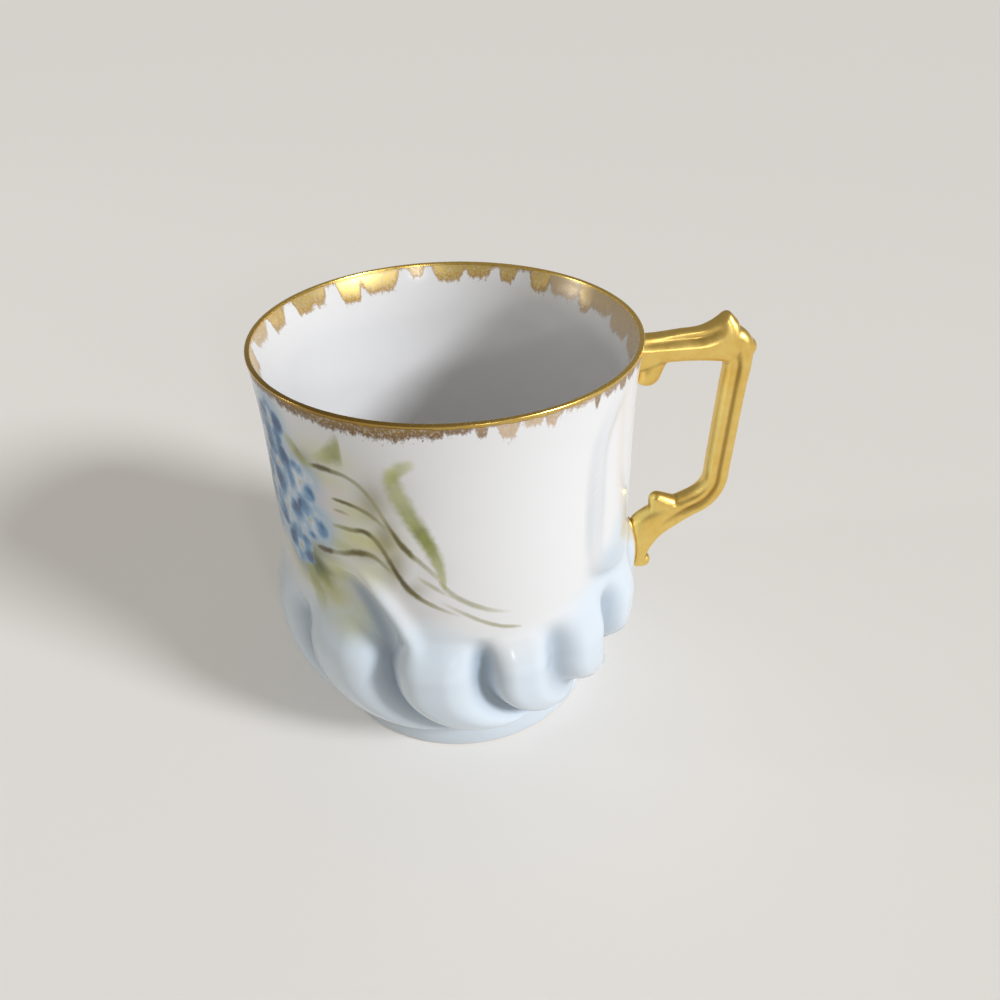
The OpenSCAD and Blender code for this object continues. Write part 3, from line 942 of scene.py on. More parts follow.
    def gild(self, node: Maker, noise: Sockets, stored: Sockets) -> tuple[Socket, Socket, Socket]:
        """Dab gold below the lip, broken by bristles, pools, grain and specks.

        Args:
            node: add_node for the material's tree.
            noise: the noises by name.
            stored: what the mesh holds by name.

        Returns:
            How much the gold covers, how much of it is bright metal, and its colour.
        """
        outside, body, inside = stored["outside"], stored["gilt_body"], stored["fringe"]
        for mark, reach in self.dab_breaks:
            swing = node("Math", (noise[mark], NOISE_MIDDLE), operation="SUBTRACT")
            inside = node("Math", (swing, reach, inside), operation="MULTIPLY_ADD")
        specks = node("MapRange", (noise["speck"], *self.dab_specks))
        inside = node("Math", (inside, specks), operation="SUBTRACT")
        cover = node("MapRange", (inside, *self.dab_edge))
        for value, span in ((body, self.dab_cover), (noise["grain"], self.dab_grain)):
            cover = node("Math", (cover, node("MapRange", (value, *span))), operation="MULTIPLY")
        bright = node("MapRange", (inside, *self.dab_thick))
        for share in (body, node("MapRange", (outside, *self.dab_bright))):
            bright = node("Math", (bright, share), operation="MULTIPLY")
        streaked = node("Math", (noise["bristle"], self.dab_streak, body), operation="MULTIPLY_ADD")
        inner = node("ValToRGB", (streaked,), stops=self.inner_gilt)
        outer = node("ValToRGB", (streaked,), stops=self.outer_gilt)
        gold = node("Mix", {FACTOR: outside, UNDER: inner, OVER: outer}, MIXED, data_type="RGBA")
        burnished = {FACTOR: bright, UNDER: gold, OVER: linear(self.tones.bright)}
        return cover, bright, node("Mix", burnished, MIXED, data_type="RGBA")

    def make(self, spray: FlowerSpray) -> bpy.types.Material:
        """Make the material with its painting and its gold.

        Args:
            spray: the flowers, stems and leaves to paint.

        Returns:
            The finished material.
        """
        material, node, shader = new_material(self.name)
        place = node("TexCoord", out="Object")
        noise = self.spread_noise(node, place)
        washes = [name for name, _ in self.washes]
        others = ("outside", "blue_ground", "hollow", "petal", "petal_depth", "eye", "fringe", "gilt_body")
        stored = {name: node("Attribute", out="Fac", attribute_name=name) for name in (*washes, *others)}
        painted = self.paint(node, spray, place, noise, stored)
        gilt, bright, gold = self.gild(node, noise, stored)
        roughness = {"Value": gilt, "To Min": self.glaze_roughness, "To Max": self.gold_roughness}
        waves = {"Height": noise["drift"], "Strength": self.wave_strength, "Distance": self.wave_h * MM}
        fill_inputs(shader, {
            "Base Color": node("Mix", {FACTOR: gilt, UNDER: painted, OVER: gold}, MIXED, data_type="RGBA"),
            "Metallic": node("Math", (gilt, bright), operation="MULTIPLY"),
            "Roughness": node("MapRange", roughness),
            "Normal": node("Bump", waves),
            "IOR": self.glaze_ior,
        })
        return material


@dataclass(frozen=True)
class FootPorcelain:
    """Glazed porcelain whose seat was wiped bare before firing.

    It gives the eye the body's cool gloss down the side, painted a little darker and bluer as shade, and a
    dull, faintly warm ring underneath.
    """

    name: str = "wiped_foot_porcelain"
    # Glazed side: darker and bluer than the body's white, as painted shade
    glazed: str = "#D3DDE6"
    bare: str = "#D9D2C4"
    # Height of the bare seat, the size of its grit, and how far the grit makes its edge wander
    bare_height: float = 0.35
    grit_mm: float = 0.5
    grit_detail: float = 4.0
    grit_reach: float = 0.3
    glazed_roughness: float = 0.1
    bare_roughness: float = 0.75
    ior: float = 1.5

    def make(self) -> bpy.types.Material:
        """Make the material.

        Returns:
            The finished material.
        """
        material, node, shader = new_material(self.name)
        place = node("TexCoord", out="Object")
        height = node("SeparateXYZ", (place,), "Z")
        scale = per_metre(self.grit_mm)
        grit = node("TexNoise", {"Vector": place, "Scale": scale, "Detail": self.grit_detail})
        edge = node("Math", (grit, -self.grit_reach * MM, height), operation="MULTIPLY_ADD")
        bare = node("MapRange", (edge, self.bare_height * MM, 0.0))
        tones = {FACTOR: bare, UNDER: linear(self.glazed), OVER: linear(self.bare)}
        roughness = {"Value": bare, "To Min": self.glazed_roughness, "To Max": self.bare_roughness}
        fill_inputs(shader, {
            "Base Color": node("Mix", tones, MIXED, data_type="RGBA"),
            "Roughness": node("MapRange", roughness),
            "IOR": self.ior,
        })
        return material


@dataclass(frozen=True)
class FiredGold:
    """Liquid gold brushed over the glaze, fired and burnished.

    It gives the eye a soft satin metal with faint brush streaks, brown where the mesh marks it, which on
    the handle is duller gold and painted shade in its hollows and on the lip worn and thin gold, and
    brighter where fingers have rubbed it.
    """

    name: str
    tones: GildTones = GildTones()
    # Sizes in millimetres of the brush's streaks and of the patches that fingers rub, and their detail
    streak_mm: float = 1.4
    streak_detail: float = 4.0
    patch_mm: float = 4.0
    patch_detail: float = 2.0
    # How streaks and patches together make the gold brighter
    burnish: Span = (0.6, 1.4, 0.0, 1.0)
    # The gold's roughness, and how much smoother and rougher than that its streaks are
    roughness: float = 0.33
    smoother: float = 0.06
    rougher: float = 0.1
    # The relief of the streaks
    streak_h: float = 0.03
    streak_strength: float = 0.12

    def make(self) -> bpy.types.Material:
        """Make the material.

        Returns:
            The finished material.
        """
        material, node, shader = new_material(self.name)
        place = node("TexCoord", out="Object")
        streak, patch = (
            node("TexNoise", {"Vector": place, "Scale": per_metre(size), "Detail": detail})
            for size, detail in ((self.streak_mm, self.streak_detail), (self.patch_mm, self.patch_detail))
        )
        shine = node("MapRange", (node("Math", (streak, patch), operation="ADD"), *self.burnish))
        # The hollow attribute browns the gold: painted shade with duller gold in the handle's hollows, wear
        # and thin edges on the lip
        hollow = node("Attribute", out="Fac", attribute_name="hollow")
        colour = linear(self.tones.plain)
        for cover, tone in ((shine, self.tones.bright), (hollow, self.tones.hollow)):
            colour = node("Mix", {FACTOR: cover, UNDER: colour, OVER: linear(tone)}, MIXED, data_type="RGBA")
        low, high = self.roughness - self.smoother, self.roughness + self.rougher
        relief = {"Height": streak, "Strength": self.streak_strength, "Distance": self.streak_h * MM}
        fill_inputs(shader, {
            "Base Color": colour,
            "Metallic": 1.0,
            "Roughness": node("MapRange", {"Value": streak, "To Min": low, "To Max": high}),
            "Normal": node("Bump", relief),
        })
        return material


# The cup's pieces


@dataclass(frozen=True)
class Groove:
    """A groove between two gadroons: its azimuth from the handle, its share of the depth, its half width."""

    azimuth: float
    share: float
    half_w: float


@dataclass(frozen=True)
class Dab:
    """A dab of gold below the lip: its azimuth and half width in degrees, its depth and how thick it is."""

    azimuth: float
    half: float
    depth: float
    body: float


@dataclass
class CupBody:
    """The cast body: swirled gadroons, thin wall, flared lip, painting and dabbed gold."""

    sizes: CupSizes
    # The grooves from the handle round to the back, which both sides share, and the one at the back
    side_grooves: tuple[Groove, ...] = (
        Groove(15, 0.75, 2.4), Groove(39, 0.75, 2.3), Groove(62.5, 0.65, 2.3), Groove(85, 1, 1.8),
        Groove(114, 1, 2.2), Groove(146, 0.7, 2.6),
    )
    back_groove: Groove = Groove(180, 0.75, 2.4)
    groove_depth: float = 3.6
    # Which groove runs up beside a tall scroll, and where such grooves, the others and all relief end
    scroll_groove: int = 4
    scroll_top: float = 41.0
    groove_top: float = 31.0
    relief_top: float = 43.0
    # Heights over which the grooves fade out at their ends
    scroll_run: float = 5.0
    groove_run: float = 6.0
    foot_run: float = 5.0
    # Share of a gadroon's width that is its crest, and how much of a groove's form is a narrow channel
    crest_share: float = 0.2
    channel_share: float = 0.6
    # How softly a deep groove ends at the thinnest wall
    wall_blend: float = 0.8
    # The grooves stand upright between two heights and lean above and below them
    upright_hi: float = 26.0
    upright_lo: float = 22.0
    lean_top: float = 0.055
    lean_foot: float = 0.1
    # The scroll's ridge: its height, its place beside its groove and its spread, its foot and its fade
    ridge_h: float = 1.3
    ridge_offset: float = 9.0
    ridge_spread: float = 3.4
    ridge_foot_z: float = 25.0
    ridge_run: float = 7.0
    # Columns of the mesh stand closer together on the painted side
    columns: int = 432
    painted_azimuth: float = -125.0
    crowding: float = 0.45
    # Rows of the mesh: under the gadroons, over them, up the wall and up the flare, then down inside
    outer_rows: tuple[int, int, int, int] = (31, 55, 37, 25)
    inner_rows: tuple[int, int, int] = (17, 25, 13)
    lip_rows: int = 6
    base_rings: int = 4
    floor_rings: int = 6
    # Lowest place and farthest place round from the front that the painting reaches
    painted_z: float = 27.0
    painted_along: float = 12.0
    # Fine raised lines beside the handle: azimuth from it, height and half width of each point
    frame_line: tuple[tuple[float, float, float], ...] = (
        (34, 63, 0.05), (40, 61, 0.25), (44.6, 57.8, 0.4), (46.4, 54, 0.45), (46.8, 46.6, 0.6),
        (46.6, 41, 0.5), (45, 37, 0.35), (41.6, 34.6, 0.2), (36, 33.4, 0.05),
    )
    frame_h: float = 0.3
    fold_line: tuple[tuple[float, float, float], ...] = (
        (24, 31.6, 0.05), (30, 32.4, 0.4), (37, 33.6, 0.6), (44, 35.2, 0.4), (49, 36.8, 0.05),
    )
    fold_h: float = 0.45
    # How soft the lines are, how much pooled glaze and painted shade darken the wall beside them, how far
    # round they lie, and their steps
    line_soft: float = 0.95
    line_glaze_and_shade: float = 0.2
    line_reach: float = 52.0
    line_parts: int = 6
    dabs: dict[Side, tuple[Dab, ...]] = field(
        default_factory=lambda: {
            Side.OUTSIDE: (
                Dab(-172, 9, 1.3, 0.6), Dab(-150, 10, 1.2, 0.8), Dab(-133, 7, 1.6, 1), Dab(-120, 8, 2.1, 1),
                Dab(-107, 7, 2.2, 1), Dab(-97, 5, 1.8, 1), Dab(-88.5, 3, 1.3, 0.8), Dab(-83, 1.2, 2.2, 0.6),
                Dab(-76.5, 2.4, 2.8, 0.1), Dab(-70, 2.4, 1.6, 0.1), Dab(-65, 1.8, 2.2, 0.2),
                Dab(-56, 4, 1.1, 0.3), Dab(-50, 1, 2.4, 0.7), Dab(-44, 3, 1.5, 0.6), Dab(-38, 2, 2.1, 0.7),
                Dab(-32, 3, 1.8, 0.7), Dab(-20, 8, 1.9, 0.6), Dab(5, 9, 1.6, 0.5), Dab(28, 6, 2.2, 0.5),
                Dab(44, 6, 2.7, 0.3), Dab(61, 8, 1.9, 0.7), Dab(78, 5, 2.8, 0.4), Dab(92, 6, 2.0, 0.8),
                Dab(108, 8, 2.4, 0.6), Dab(127, 6, 1.8, 0.9), Dab(143, 7, 2.5, 0.4), Dab(162, 8, 2.1, 0.7),
            ),
            Side.INSIDE: (
                Dab(-166, 7, 3.2, 0.6), Dab(-150, 6, 3.2, 0.6), Dab(-135, 5, 4.2, 0.8),
                Dab(-116, 7, 3.8, 0.7), Dab(-98, 5, 4.4, 0.6), Dab(-82, 4, 3.4, 0.8), Dab(-64, 7, 4.0, 0.7),
                Dab(-44, 6, 3.6, 0.6), Dab(-27, 6, 4.2, 0.5), Dab(-8, 9, 4.0, 0.3), Dab(9, 8, 4.2, 0.2),
                Dab(24, 8, 3.2, 0.3), Dab(32, 3, 4.4, 0.6), Dab(42, 7, 3.2, 0.3), Dab(53, 4, 3.4, 0.9),
                Dab(66, 3, 2.9, 0.9), Dab(77, 4.5, 2.4, 1), Dab(88, 5.5, 2.7, 1), Dab(100, 2.4, 2.2, 0.4),
                Dab(114, 7, 3.6, 0.9), Dab(126, 4.5, 4.2, 1), Dab(139, 3, 2.8, 0.8), Dab(146, 4.5, 3, 0.9),
                Dab(161, 4.5, 2.8, 0.7), Dab(175, 6, 2.4, 0.3),
            ),
        }
    )
    # Between two dabs: the gold's least depth, how thick it is there, and how little that counts
    thin_gilt: dict[Side, float] = field(default_factory=lambda: {Side.OUTSIDE: 0.7, Side.INSIDE: 0.5})
    thin_body: float = 0.05
    thin_weight: float = 0.1
    # How square the end of a dab is
    dab_power: int = 8
    # How strongly the grooves are tinted blue-grey, partly by pooled glaze and partly as painted shade
    groove_glaze_and_shade: float = 0.8
    # Azimuth from the handle and height of the pale blue ground's edge, and how softly it fades there
    ground_edge: tuple[tuple[float, float], ...] = (
        (0, 47), (30, 45), (47, 36), (60, 32), (79, 30), (101, 37), (120, 38), (150, 35), (180, 35),
    )
    ground_lift: float = 1.5
    ground_fade: float = 9.0

    def lean(self, z: np.ndarray) -> np.ndarray:
        """Work out how far the grooves have leant round the cup.

        Args:
            z: height in millimetres.

        Returns:
            Degrees round the cup.
        """
        above = np.clip(np.minimum(z, self.relief_top) - self.upright_hi, 0, None)
        below = np.clip(self.upright_lo - z, 0, None)
        return self.lean_foot * below**2 - self.lean_top * above**2

    def mould(self, azimuth: np.ndarray, z: np.ndarray) -> tuple[np.ndarray, np.ndarray, np.ndarray]:
        """Work out the moulded outside.

        Args:
            azimuth: degrees round the cup, freed of the lean.
            z: height in millimetres.

        Returns:
            Radius in millimetres, how much pooled glaze and painted shade tint the groove, from 0 to 1 in the
            middle of a groove, and how near the crest of a scroll is, from 0 to 1.
        """
        s = self.sizes
        mirrored = [Groove(360 - g.azimuth, g.share, g.half_w) for g in reversed(self.side_grooves)]
        grooves = [*self.side_grooves, self.back_groove, *mirrored]
        turns, shares, halves = np.array([(g.azimuth, g.share, g.half_w) for g in grooves]).T
        scrolls = (self.scroll_groove, len(grooves) - 1 - self.scroll_groove)
        a = azimuth % 360
        right = np.searchsorted(turns, a, side="right")
        left, right = (right - 1) % len(grooves), right % len(grooves)
        width = (turns[right] - turns[left]) % 360
        t = 2 * ((a - turns[left]) % 360) / width - 1
        near = np.where(t < 0, left, right)
        fade = np.where(
            np.isin(near, scrolls),
            ease((self.scroll_top - z) / self.scroll_run),
            ease((self.groove_top - z) / self.groove_run),
        )
        depth = self.groove_depth * shares[near] * fade * round_off((z - s.foot_h) / self.foot_run)
        lobe = round_off(np.clip(np.abs(t) - self.crest_share, 0, None) / (1 - self.crest_share)) ** 2
        away = (1 - np.abs(t)) * np.radians(width / 2) * s.crest_r(z)
        channel = bell(away / halves[near])
        sunk = depth * (lobe + (channel - lobe) * self.channel_share)
        ridge = ease((z - self.ridge_foot_z) / self.ridge_run) * ease((self.relief_top - z) / self.ridge_run)
        beside = [bell((a - turns[i] - self.ridge_offset) / self.ridge_spread) for i in scrolls]
        crest = s.crest_r(z, np.sin(np.radians(a)) ** 2)
        scroll = ridge * np.max(beside, axis=0)
        crest = crest + self.ridge_h * scroll
        least = s.inner_r(z) + s.least_wall
        overlap = np.clip(self.wall_blend - np.abs(crest - sunk - least), 0, None)
        blended = np.maximum(crest - sunk, least) + overlap**2 / self.wall_blend / 4
        radius = np.where(z < self.relief_top, np.minimum(crest, blended), s.crest_r(z))
        return radius, channel * fade * shares[near], scroll

    def raised_lines(self, azimuth: np.ndarray, z: np.ndarray) -> tuple[np.ndarray, np.ndarray]:
        """Work out the fine moulded lines that frame the handle.

        Args:
            azimuth: degrees round the cup, from -180 to 180.
            z: height in millimetres.

        Returns:
            Millimetres above the wall, and how much pooled glaze and painted shade darken the wall beside the
            lines.
        """
        height, pooled = np.zeros((2, len(z)))
        near = np.abs(azimuth) < self.line_reach
        to_flat = math.radians(1) * self.sizes.wall_r
        spots = np.stack([np.abs(azimuth[near]) * to_flat, z[near]], axis=1)
        for points, rise in ((self.frame_line, self.frame_h), (self.fold_line, self.fold_h)):
            line = smooth_line(np.array(points) * (to_flat, 1, 1), self.line_parts)
            widest = line[:, 2].max()
            crest, beside = np.zeros((2, len(spots)))
            for start, end in zip(line, line[1:]):
                step = (end - start)[:2]
                t = np.clip((spots - start[:2]) @ step / (step @ step), 0, 1)
                half = start[2] + (end[2] - start[2]) * t
                gap = np.linalg.norm(spots - start[:2] - t[:, None] * step, axis=1) - half
                taper = half / widest
                crest = np.maximum(crest, taper * bell(np.clip(gap, 0, None) / self.line_soft))
                beside = np.maximum(beside, taper * bell(gap / self.line_soft - 1))
            height[near] += rise * crest
            pooled[near] += self.line_glaze_and_shade * beside
        return height, pooled

    def outline(self) -> list[tuple[float, float]]:
        """Work out the outline to spin: under the base, up the outside, over the lip and down inside.

        Returns:
            Radius and height of each point, in millimetres.
        """
        s = self.sizes
        under, over, wall, flare = self.outer_rows
        rows = np.concatenate([
            s.gadroon_z - (s.gadroon_z - s.foot_h) * np.cos(np.linspace(0, np.pi / 2, under)),
            np.linspace(s.gadroon_z, self.relief_top, over)[1:],
            np.linspace(self.relief_top, s.throat_z, wall)[1:],
            np.linspace(s.throat_z, s.lip_edge_z, flare)[1:],
        ])
        points = [(radius, s.foot_h) for radius in np.linspace(0, s.neck_r, self.base_rings)[:-1]]
        points += [*zip(s.crest_r(rows), rows), *s.lip_round(self.lip_rows)[1:]]
        fillet_z = s.floor_z + s.floor_fillet
        flare, wall, fillet = self.inner_rows
        rows = np.concatenate([
            np.linspace(s.lip_edge_z, s.throat_z, flare)[1:],
            np.linspace(s.throat_z, fillet_z, wall)[1:],
            fillet_z - s.floor_fillet * np.sin(np.linspace(0, np.pi / 2, fillet)[1:-1]),
        ])
        floor_r = s.wall_r - s.wall_t - s.floor_fillet
        floor = [(radius, s.floor_z) for radius in np.linspace(floor_r, 0, self.floor_rings)]
        return [*points, *zip(s.inner_r(rows), rows), *floor]

    def gild(self, azimuth: np.ndarray, z: np.ndarray, outside: np.ndarray) -> dict[str, np.ndarray]:
        """Work out the dabbed gold below the lip.

        Args:
            azimuth: degrees round the cup, from -180 to 180.
            z: height in millimetres.
            outside: whether each place is on the outer face.

        Returns:
            Millimetres below the gold's lower edge, negative inside it, and how thick the gold lies.
        """
        depth, body = np.zeros((2, len(z)))
        for side, mine in ((Side.OUTSIDE, outside), (Side.INSIDE, ~outside)):
            least = self.thin_gilt[side]
            reach = np.full(len(z), least)
            thick, weight = np.full(len(z), self.thin_body), np.full(len(z), self.thin_weight)
            for dab in self.dabs[side]:
                share = np.exp(-((wrap(azimuth - dab.azimuth) / dab.half) ** self.dab_power))
                reach = np.maximum(reach, least + (dab.depth - least) * share)
                thick, weight = thick + share * dab.body, weight + share
            depth = np.where(mine, reach, depth)
            body = np.where(mine, thick / weight, body)
        return {"fringe": self.sizes.lip_z - z - depth, "gilt_body": body}

    def ground(self, azimuth: np.ndarray, z: np.ndarray) -> np.ndarray:
        """Return the strength of the pale blue ground, which fades out at the white panels' lower edge."""
        edge = np.interp(np.abs(azimuth), *np.transpose(self.ground_edge))
        return ease((edge + self.ground_lift - z) / self.ground_fade)

    def build(self, finish: PaintedPorcelain) -> None:
        """Model, paint and place the body.

        Args:
            finish: the porcelain and its painting.
        """
        s = self.sizes
        mesh = to_mesh(spun_mesh(self.outline(), self.columns), "porcelain_body")
        points = read_points(mesh)
        radius, z = np.hypot(points[:, 0], points[:, 1]), points[:, 2]
        turn = np.arctan2(points[:, 1], points[:, 0])
        turn = turn - self.crowding * np.sin(turn - math.radians(self.painted_azimuth))
        azimuth = wrap(np.degrees(turn))
        outside = radius > (s.crest_r(z) + s.inner_r(z)) / 2
        moulded = outside & (z > s.foot_h) & (z < s.lip_edge_z)
        shaped, grooved, scroll = self.mould(azimuth - self.lean(z), z)
        raised, beside = self.raised_lines(azimuth, z)
        radius = np.where(moulded, shaped + raised, radius)
        write_points(mesh, np.stack([radius * np.cos(turn), radius * np.sin(turn), z], axis=1))

        spray = FlowerSpray(s.wall_r)
        along = spray.flatten(azimuth)
        painted = outside & (z > self.painted_z) & (along < self.painted_along)
        layers = {
            "outside": outside,
            "blue_ground": np.where(outside, np.maximum(self.ground(azimuth, z), scroll), 0),
            # Pooled glaze and painted shade in the grooves and beside the fine lines
            "hollow": np.where(moulded, np.clip(self.groove_glaze_and_shade * grooved + beside, 0, 1), 0),
        }
        layers.update(self.gild(azimuth, z, outside))
        for name, values in spray.layers(along[painted], z[painted]).items():
            layers[name] = np.zeros(len(z))
            layers[name][painted] = values
        for name, values in layers.items():
            write_attribute(mesh, name, values)
        place_piece(mesh, "porcelain_body", "cup_body", finish.make(spray))


@dataclass
class FootRing:
    """The plain ring that the cup stands on."""

    sizes: CupSizes
    width: float = 3.0
    edge: float = 0.5
    columns: int = 240
    edge_rows: int = 6
    waist_rows: int = 14

    def build(self, finish: FootPorcelain) -> None:
        """Model and place the foot ring.

        Args:
            finish: the glazed and wiped porcelain.
        """
        s = self.sizes
        quarter = np.linspace(0, np.pi / 2, self.edge_rows)
        inner, outer = s.foot_r - self.width + self.edge, s.foot_r - self.edge
        outline = [(inner - self.edge * np.sin(t), self.edge - self.edge * np.cos(t)) for t in quarter]
        outline += [(s.neck_r - self.width, s.foot_h), (s.neck_r, s.foot_h)]
        for t in np.linspace(0, 1, self.waist_rows)[1:]:
            radius = s.neck_r + (s.foot_r - s.neck_r) * ease(t)
            outline.append((radius, s.foot_h + (2 * self.edge - s.foot_h) * t))
        outline += [(outer + self.edge * np.cos(t), self.edge - self.edge * np.sin(t)) for t in quarter]
        outline.append(outline[0])
        mesh = to_mesh(spun_mesh(outline, self.columns), "porcelain_foot")
        place_piece(mesh, "porcelain_foot", "foot_ring", finish.make())


@dataclass
class LipGilding:
    """The band of gold over the lip, with an uneven lower edge on both faces."""

    sizes: CupSizes
    # How far the band reaches below the lip's rounded edge, and how far its lower edge wanders
    depth_out: float = 0.3
    depth_in: float = 0.1
    uneven: float = 0.15
    # The waves of that edge: how many go round the lip, and where each starts, in radians
    waves: tuple[tuple[int, int], ...] = ((7, 1), (17, 0), (41, 2), (97, 0))
    # How brown the gold is at its lower edge, and where round the lip it has worn thin, in degrees
    edge_brown: float = 0.5
    worn: float = 0.75
    worn_azimuth: float = -125.0
    worn_reach: float = 50.0
    # Share of the solid's layer that shows, and how far the hidden face lies inside the porcelain
    layer_share: float = 0.9
    bite: float = 0.05
    columns: int = 480
    face_rows: int = 5
    edge_rows: int = 7

    def skin(self, grown: float) -> list[tuple[float, float]]:
        """Work out the outline over the lip, from its outer lower edge to its inner one.

        Args:
            grown: how far the outline stands off the porcelain.

        Returns:
            Radius and height of each point, in millimetres.
        """
        s = self.sizes
        outer = np.linspace(s.lip_edge_z - self.depth_out, s.lip_edge_z, self.face_rows)[:-1]
        inner = np.linspace(s.lip_edge_z, s.lip_edge_z - self.depth_in, self.face_rows)[1:]
        return [
            *zip(s.crest_r(outer) + grown, outer),
            *s.lip_round(self.edge_rows, grown),
            *zip(s.inner_r(inner) - grown, inner),
        ]

    def build(self, finish: FiredGold) -> None:
        """Model and place the gilded lip.

        Args:
            finish: the gold.
        """
        s = self.sizes
        over = self.skin(s.gilt_t * self.layer_share)
        outline = [*over, *reversed(self.skin(-self.bite)), over[0]]
        mesh = to_mesh(spun_mesh(outline, self.columns), "gilded_lip")
        points = read_points(mesh)
        turn = np.arctan2(points[:, 1], points[:, 0])
        low = np.clip((s.lip_edge_z - points[:, 2]) / self.depth_out, 0, 1)
        wave = sum(np.sin(count * turn + start) for count, start in self.waves) / len(self.waves)
        points[:, 2] += self.uneven * low**2 * wave
        write_points(mesh, points)
        thin = self.worn * bell(wrap(np.degrees(turn) - self.worn_azimuth) / self.worn_reach)
        brown = self.edge_brown * low**2 * (1 + wave) / 2
        write_attribute(mesh, "hollow", np.clip(thin + brown, 0, 1))
        place_piece(mesh, "gilded_lip", "rim_gilding", finish.make())


@dataclass
class GildedHandle:
    """The angular handle: an arm with an ear, a fluted upright bar, a knuckled lower arm and a tail."""

    sizes: CupSizes
    # The upright bar: how far out it stands, its width and thickness, and the flute down each face
    handle_out: float = 18.4
    bar_w: float = 4.1
    bar_t: float = 4.6
    flute_depth: float = 0.85
    flute_share: float = 0.35
    # The arm's flute is narrower and lies to the outer side of its middle
    arm_flute: float = 0.6
    arm_flute_share: float = 0.24
    # How square the section of the handle is
    section_power: float = 0.8
    # The arm, the curl under it, the ear on its end and the lobe on the corner
    arm_drop: float = 4.8
    arm_w: float = 4.3
    curl_r: float = 2.2
    curl_drop: float = 4.0
    ear_rise: float = 5.4
    corner_r: float = 1.6
    corner_out: float = 0.6
    # The lower arm with its knuckle, the tail with its bead, and the joint to the gadroons
    elbow_z: float = 34.6
    lower_arm_w: float = 4.8
    knuckle_r: float = 1.4
    tail_w: float = 3.2
    tail_bead_r: float = 1.5
    joint_h: float = 10.8
    joint_z: float = 22.9
    slip_t: float = 0.7
    # The mesh: sides of the section, steps between two stations, a ball's sides and rows, and the skin
    sides: int = 64
    parts: int = 10
    ball_sides: int = 32
    ball_rows: int = 20
    voxel: float = 0.2
    # Rounds of smoothing: those that the surface gets, those that find its hollows, and their strength
    smoothing: int = 8
    hollowing: int = 24
    smooth_share: float = 0.5
    # Depth of a hollow at which the painted shade in the gold is darkest, and the gap left to the wall
    darkest_shade_depth: float = 0.12
    wall_gap: float = 0.1

    @property
    def bar_x(self) -> float:
        """Return how far the middle of the upright bar stands from the cup's axis."""
        return self.sizes.throat_r + self.handle_out - self.bar_w / 2

    @property
    def arm_x(self) -> float:
        """Return where the upper arm leaves its bead of slip."""
        return self.sizes.throat_r + self.slip_t

    @property
    def arm_z(self) -> float:
        """Return the height of the upper arm."""
        return self.sizes.cup_h - self.arm_drop

    @property
    def tail_x(self) -> float:
        """Return where the tail leaves its bead of slip."""
        return self.sizes.gadroon_r + self.slip_t

    @property
    def tail_z(self) -> float:
        """Return the height of the tail's end."""
        return self.joint_z - self.joint_h / 2

    def stations(self) -> np.ndarray:
        """Work out places along the handle's path, from shares of its own runs and widths.

        Returns:
            X, Z, half widths out and in, half thickness, and the flute's depth, shift and share, in rows.
        """
        arm_x, arm_z, bar_x, elbow_z = self.arm_x, self.arm_z, self.bar_x, self.elbow_z
        run, low_run = bar_x - arm_x, bar_x - self.tail_x
        fall, drop = arm_z - elbow_z, elbow_z - self.joint_z
        aw, bw, lw, tw = self.arm_w, self.bar_w, self.lower_arm_w, self.tail_w
        ear = self.ear_rise / aw
        # Along the run, down the fall, half widths out and in, thickness and flute, all of them shares
        arm = [
            (-0.1, 0, 0.5, 0.85, 1.05, 0.4), (0.09, 0, 0.52, 0.85, 1.03, 0.7),
            (0.22, 0, 0.57, 0.57, 1, 0.8), (0.38, 0, 0.65, 0.5, 1, 0.9), (0.56, 0, 0.72, 0.5, 1, 0.9),
            (0.68, 0, 0.47 + 0.35 * ear, 0.52, 1, 0.7), (0.76, 0, 0.9 * ear, 0.55, 1, 0.4),
            (0.82, 0, ear, 0.56, 1, 0.1), (0.88, 0.03, 0.74 * ear, 0.58, 1.05, 0),
        ]
        bar = [
            (-0.16, 0.15 * aw / fall, 0.68, 0.56, 1.05, 0.5), (0, 0.75 * aw / fall, 0.54, 0.5, 1, 1),
            (0, 0.28, 0.5, 0.5, 1, 1), (0, 0.55, 0.5, 0.5, 1, 1), (0, 0.82, 0.5, 0.5, 1, 1),
            (-0.03, 0.97, 0.5, 0.5, 1, 1),
        ]
        lower = [
            (0.14, 0.18, 0.46, 0.48, 1, 1), (0.38, 0.34, 0.48, 0.5, 1, 1), (0.62, 0.5, 0.55, 0.68, 1, 0.5),
        ]
        tail_fall = (self.joint_z - self.tail_z) / drop
        tail = [
            (0.79, 0.74, 0.58, 1.45, 0.95, 0), (0.88, 1, 0.32, 1, 0.9, 0),
            (0.93, 1 + 0.55 * tail_fall, 0.2, 0.5, 0.75, 0), (0.96, 1 + tail_fall, 0.2, 0.3, 0.5, 0),
        ]
        rows = []
        high, middle = (self.arm_flute, self.arm_flute_share), (0, self.flute_share)
        for stretch, x0, x_run, z0, z_run, width, channel in (
            (arm, arm_x, run, arm_z, -aw, aw, high),
            (bar, bar_x, bw, arm_z, -fall, bw, middle),
            (lower, bar_x, -low_run, elbow_z, -drop, lw, middle),
            (tail, bar_x, -low_run, elbow_z, -drop, tw, middle),
        ):
            for x, z, outer, inner, thick, flute in stretch:
                section = (width * outer, width * inner, thick * self.bar_t / 2, flute * self.flute_depth)
                rows.append((x0 + x_run * x, z0 + z_run * z, *section, *channel))
        return np.array(rows)

    def sweep(self) -> bmesh.types.BMesh:
        """Bend a straight tube along the handle's path and give it the path's sections.

        Returns:
            The closed shape in millimetres.
        """
        path = smooth_line(self.stations(), self.parts)
        ahead = np.gradient(path[:, :2], axis=0)
        ahead /= np.linalg.norm(ahead, axis=1)[:, None]
        shape = bmesh.new()
        bmesh.ops.create_cone(
            shape, cap_ends=True, segments=self.sides, radius1=1, radius2=1, depth=len(path) - 1
        )
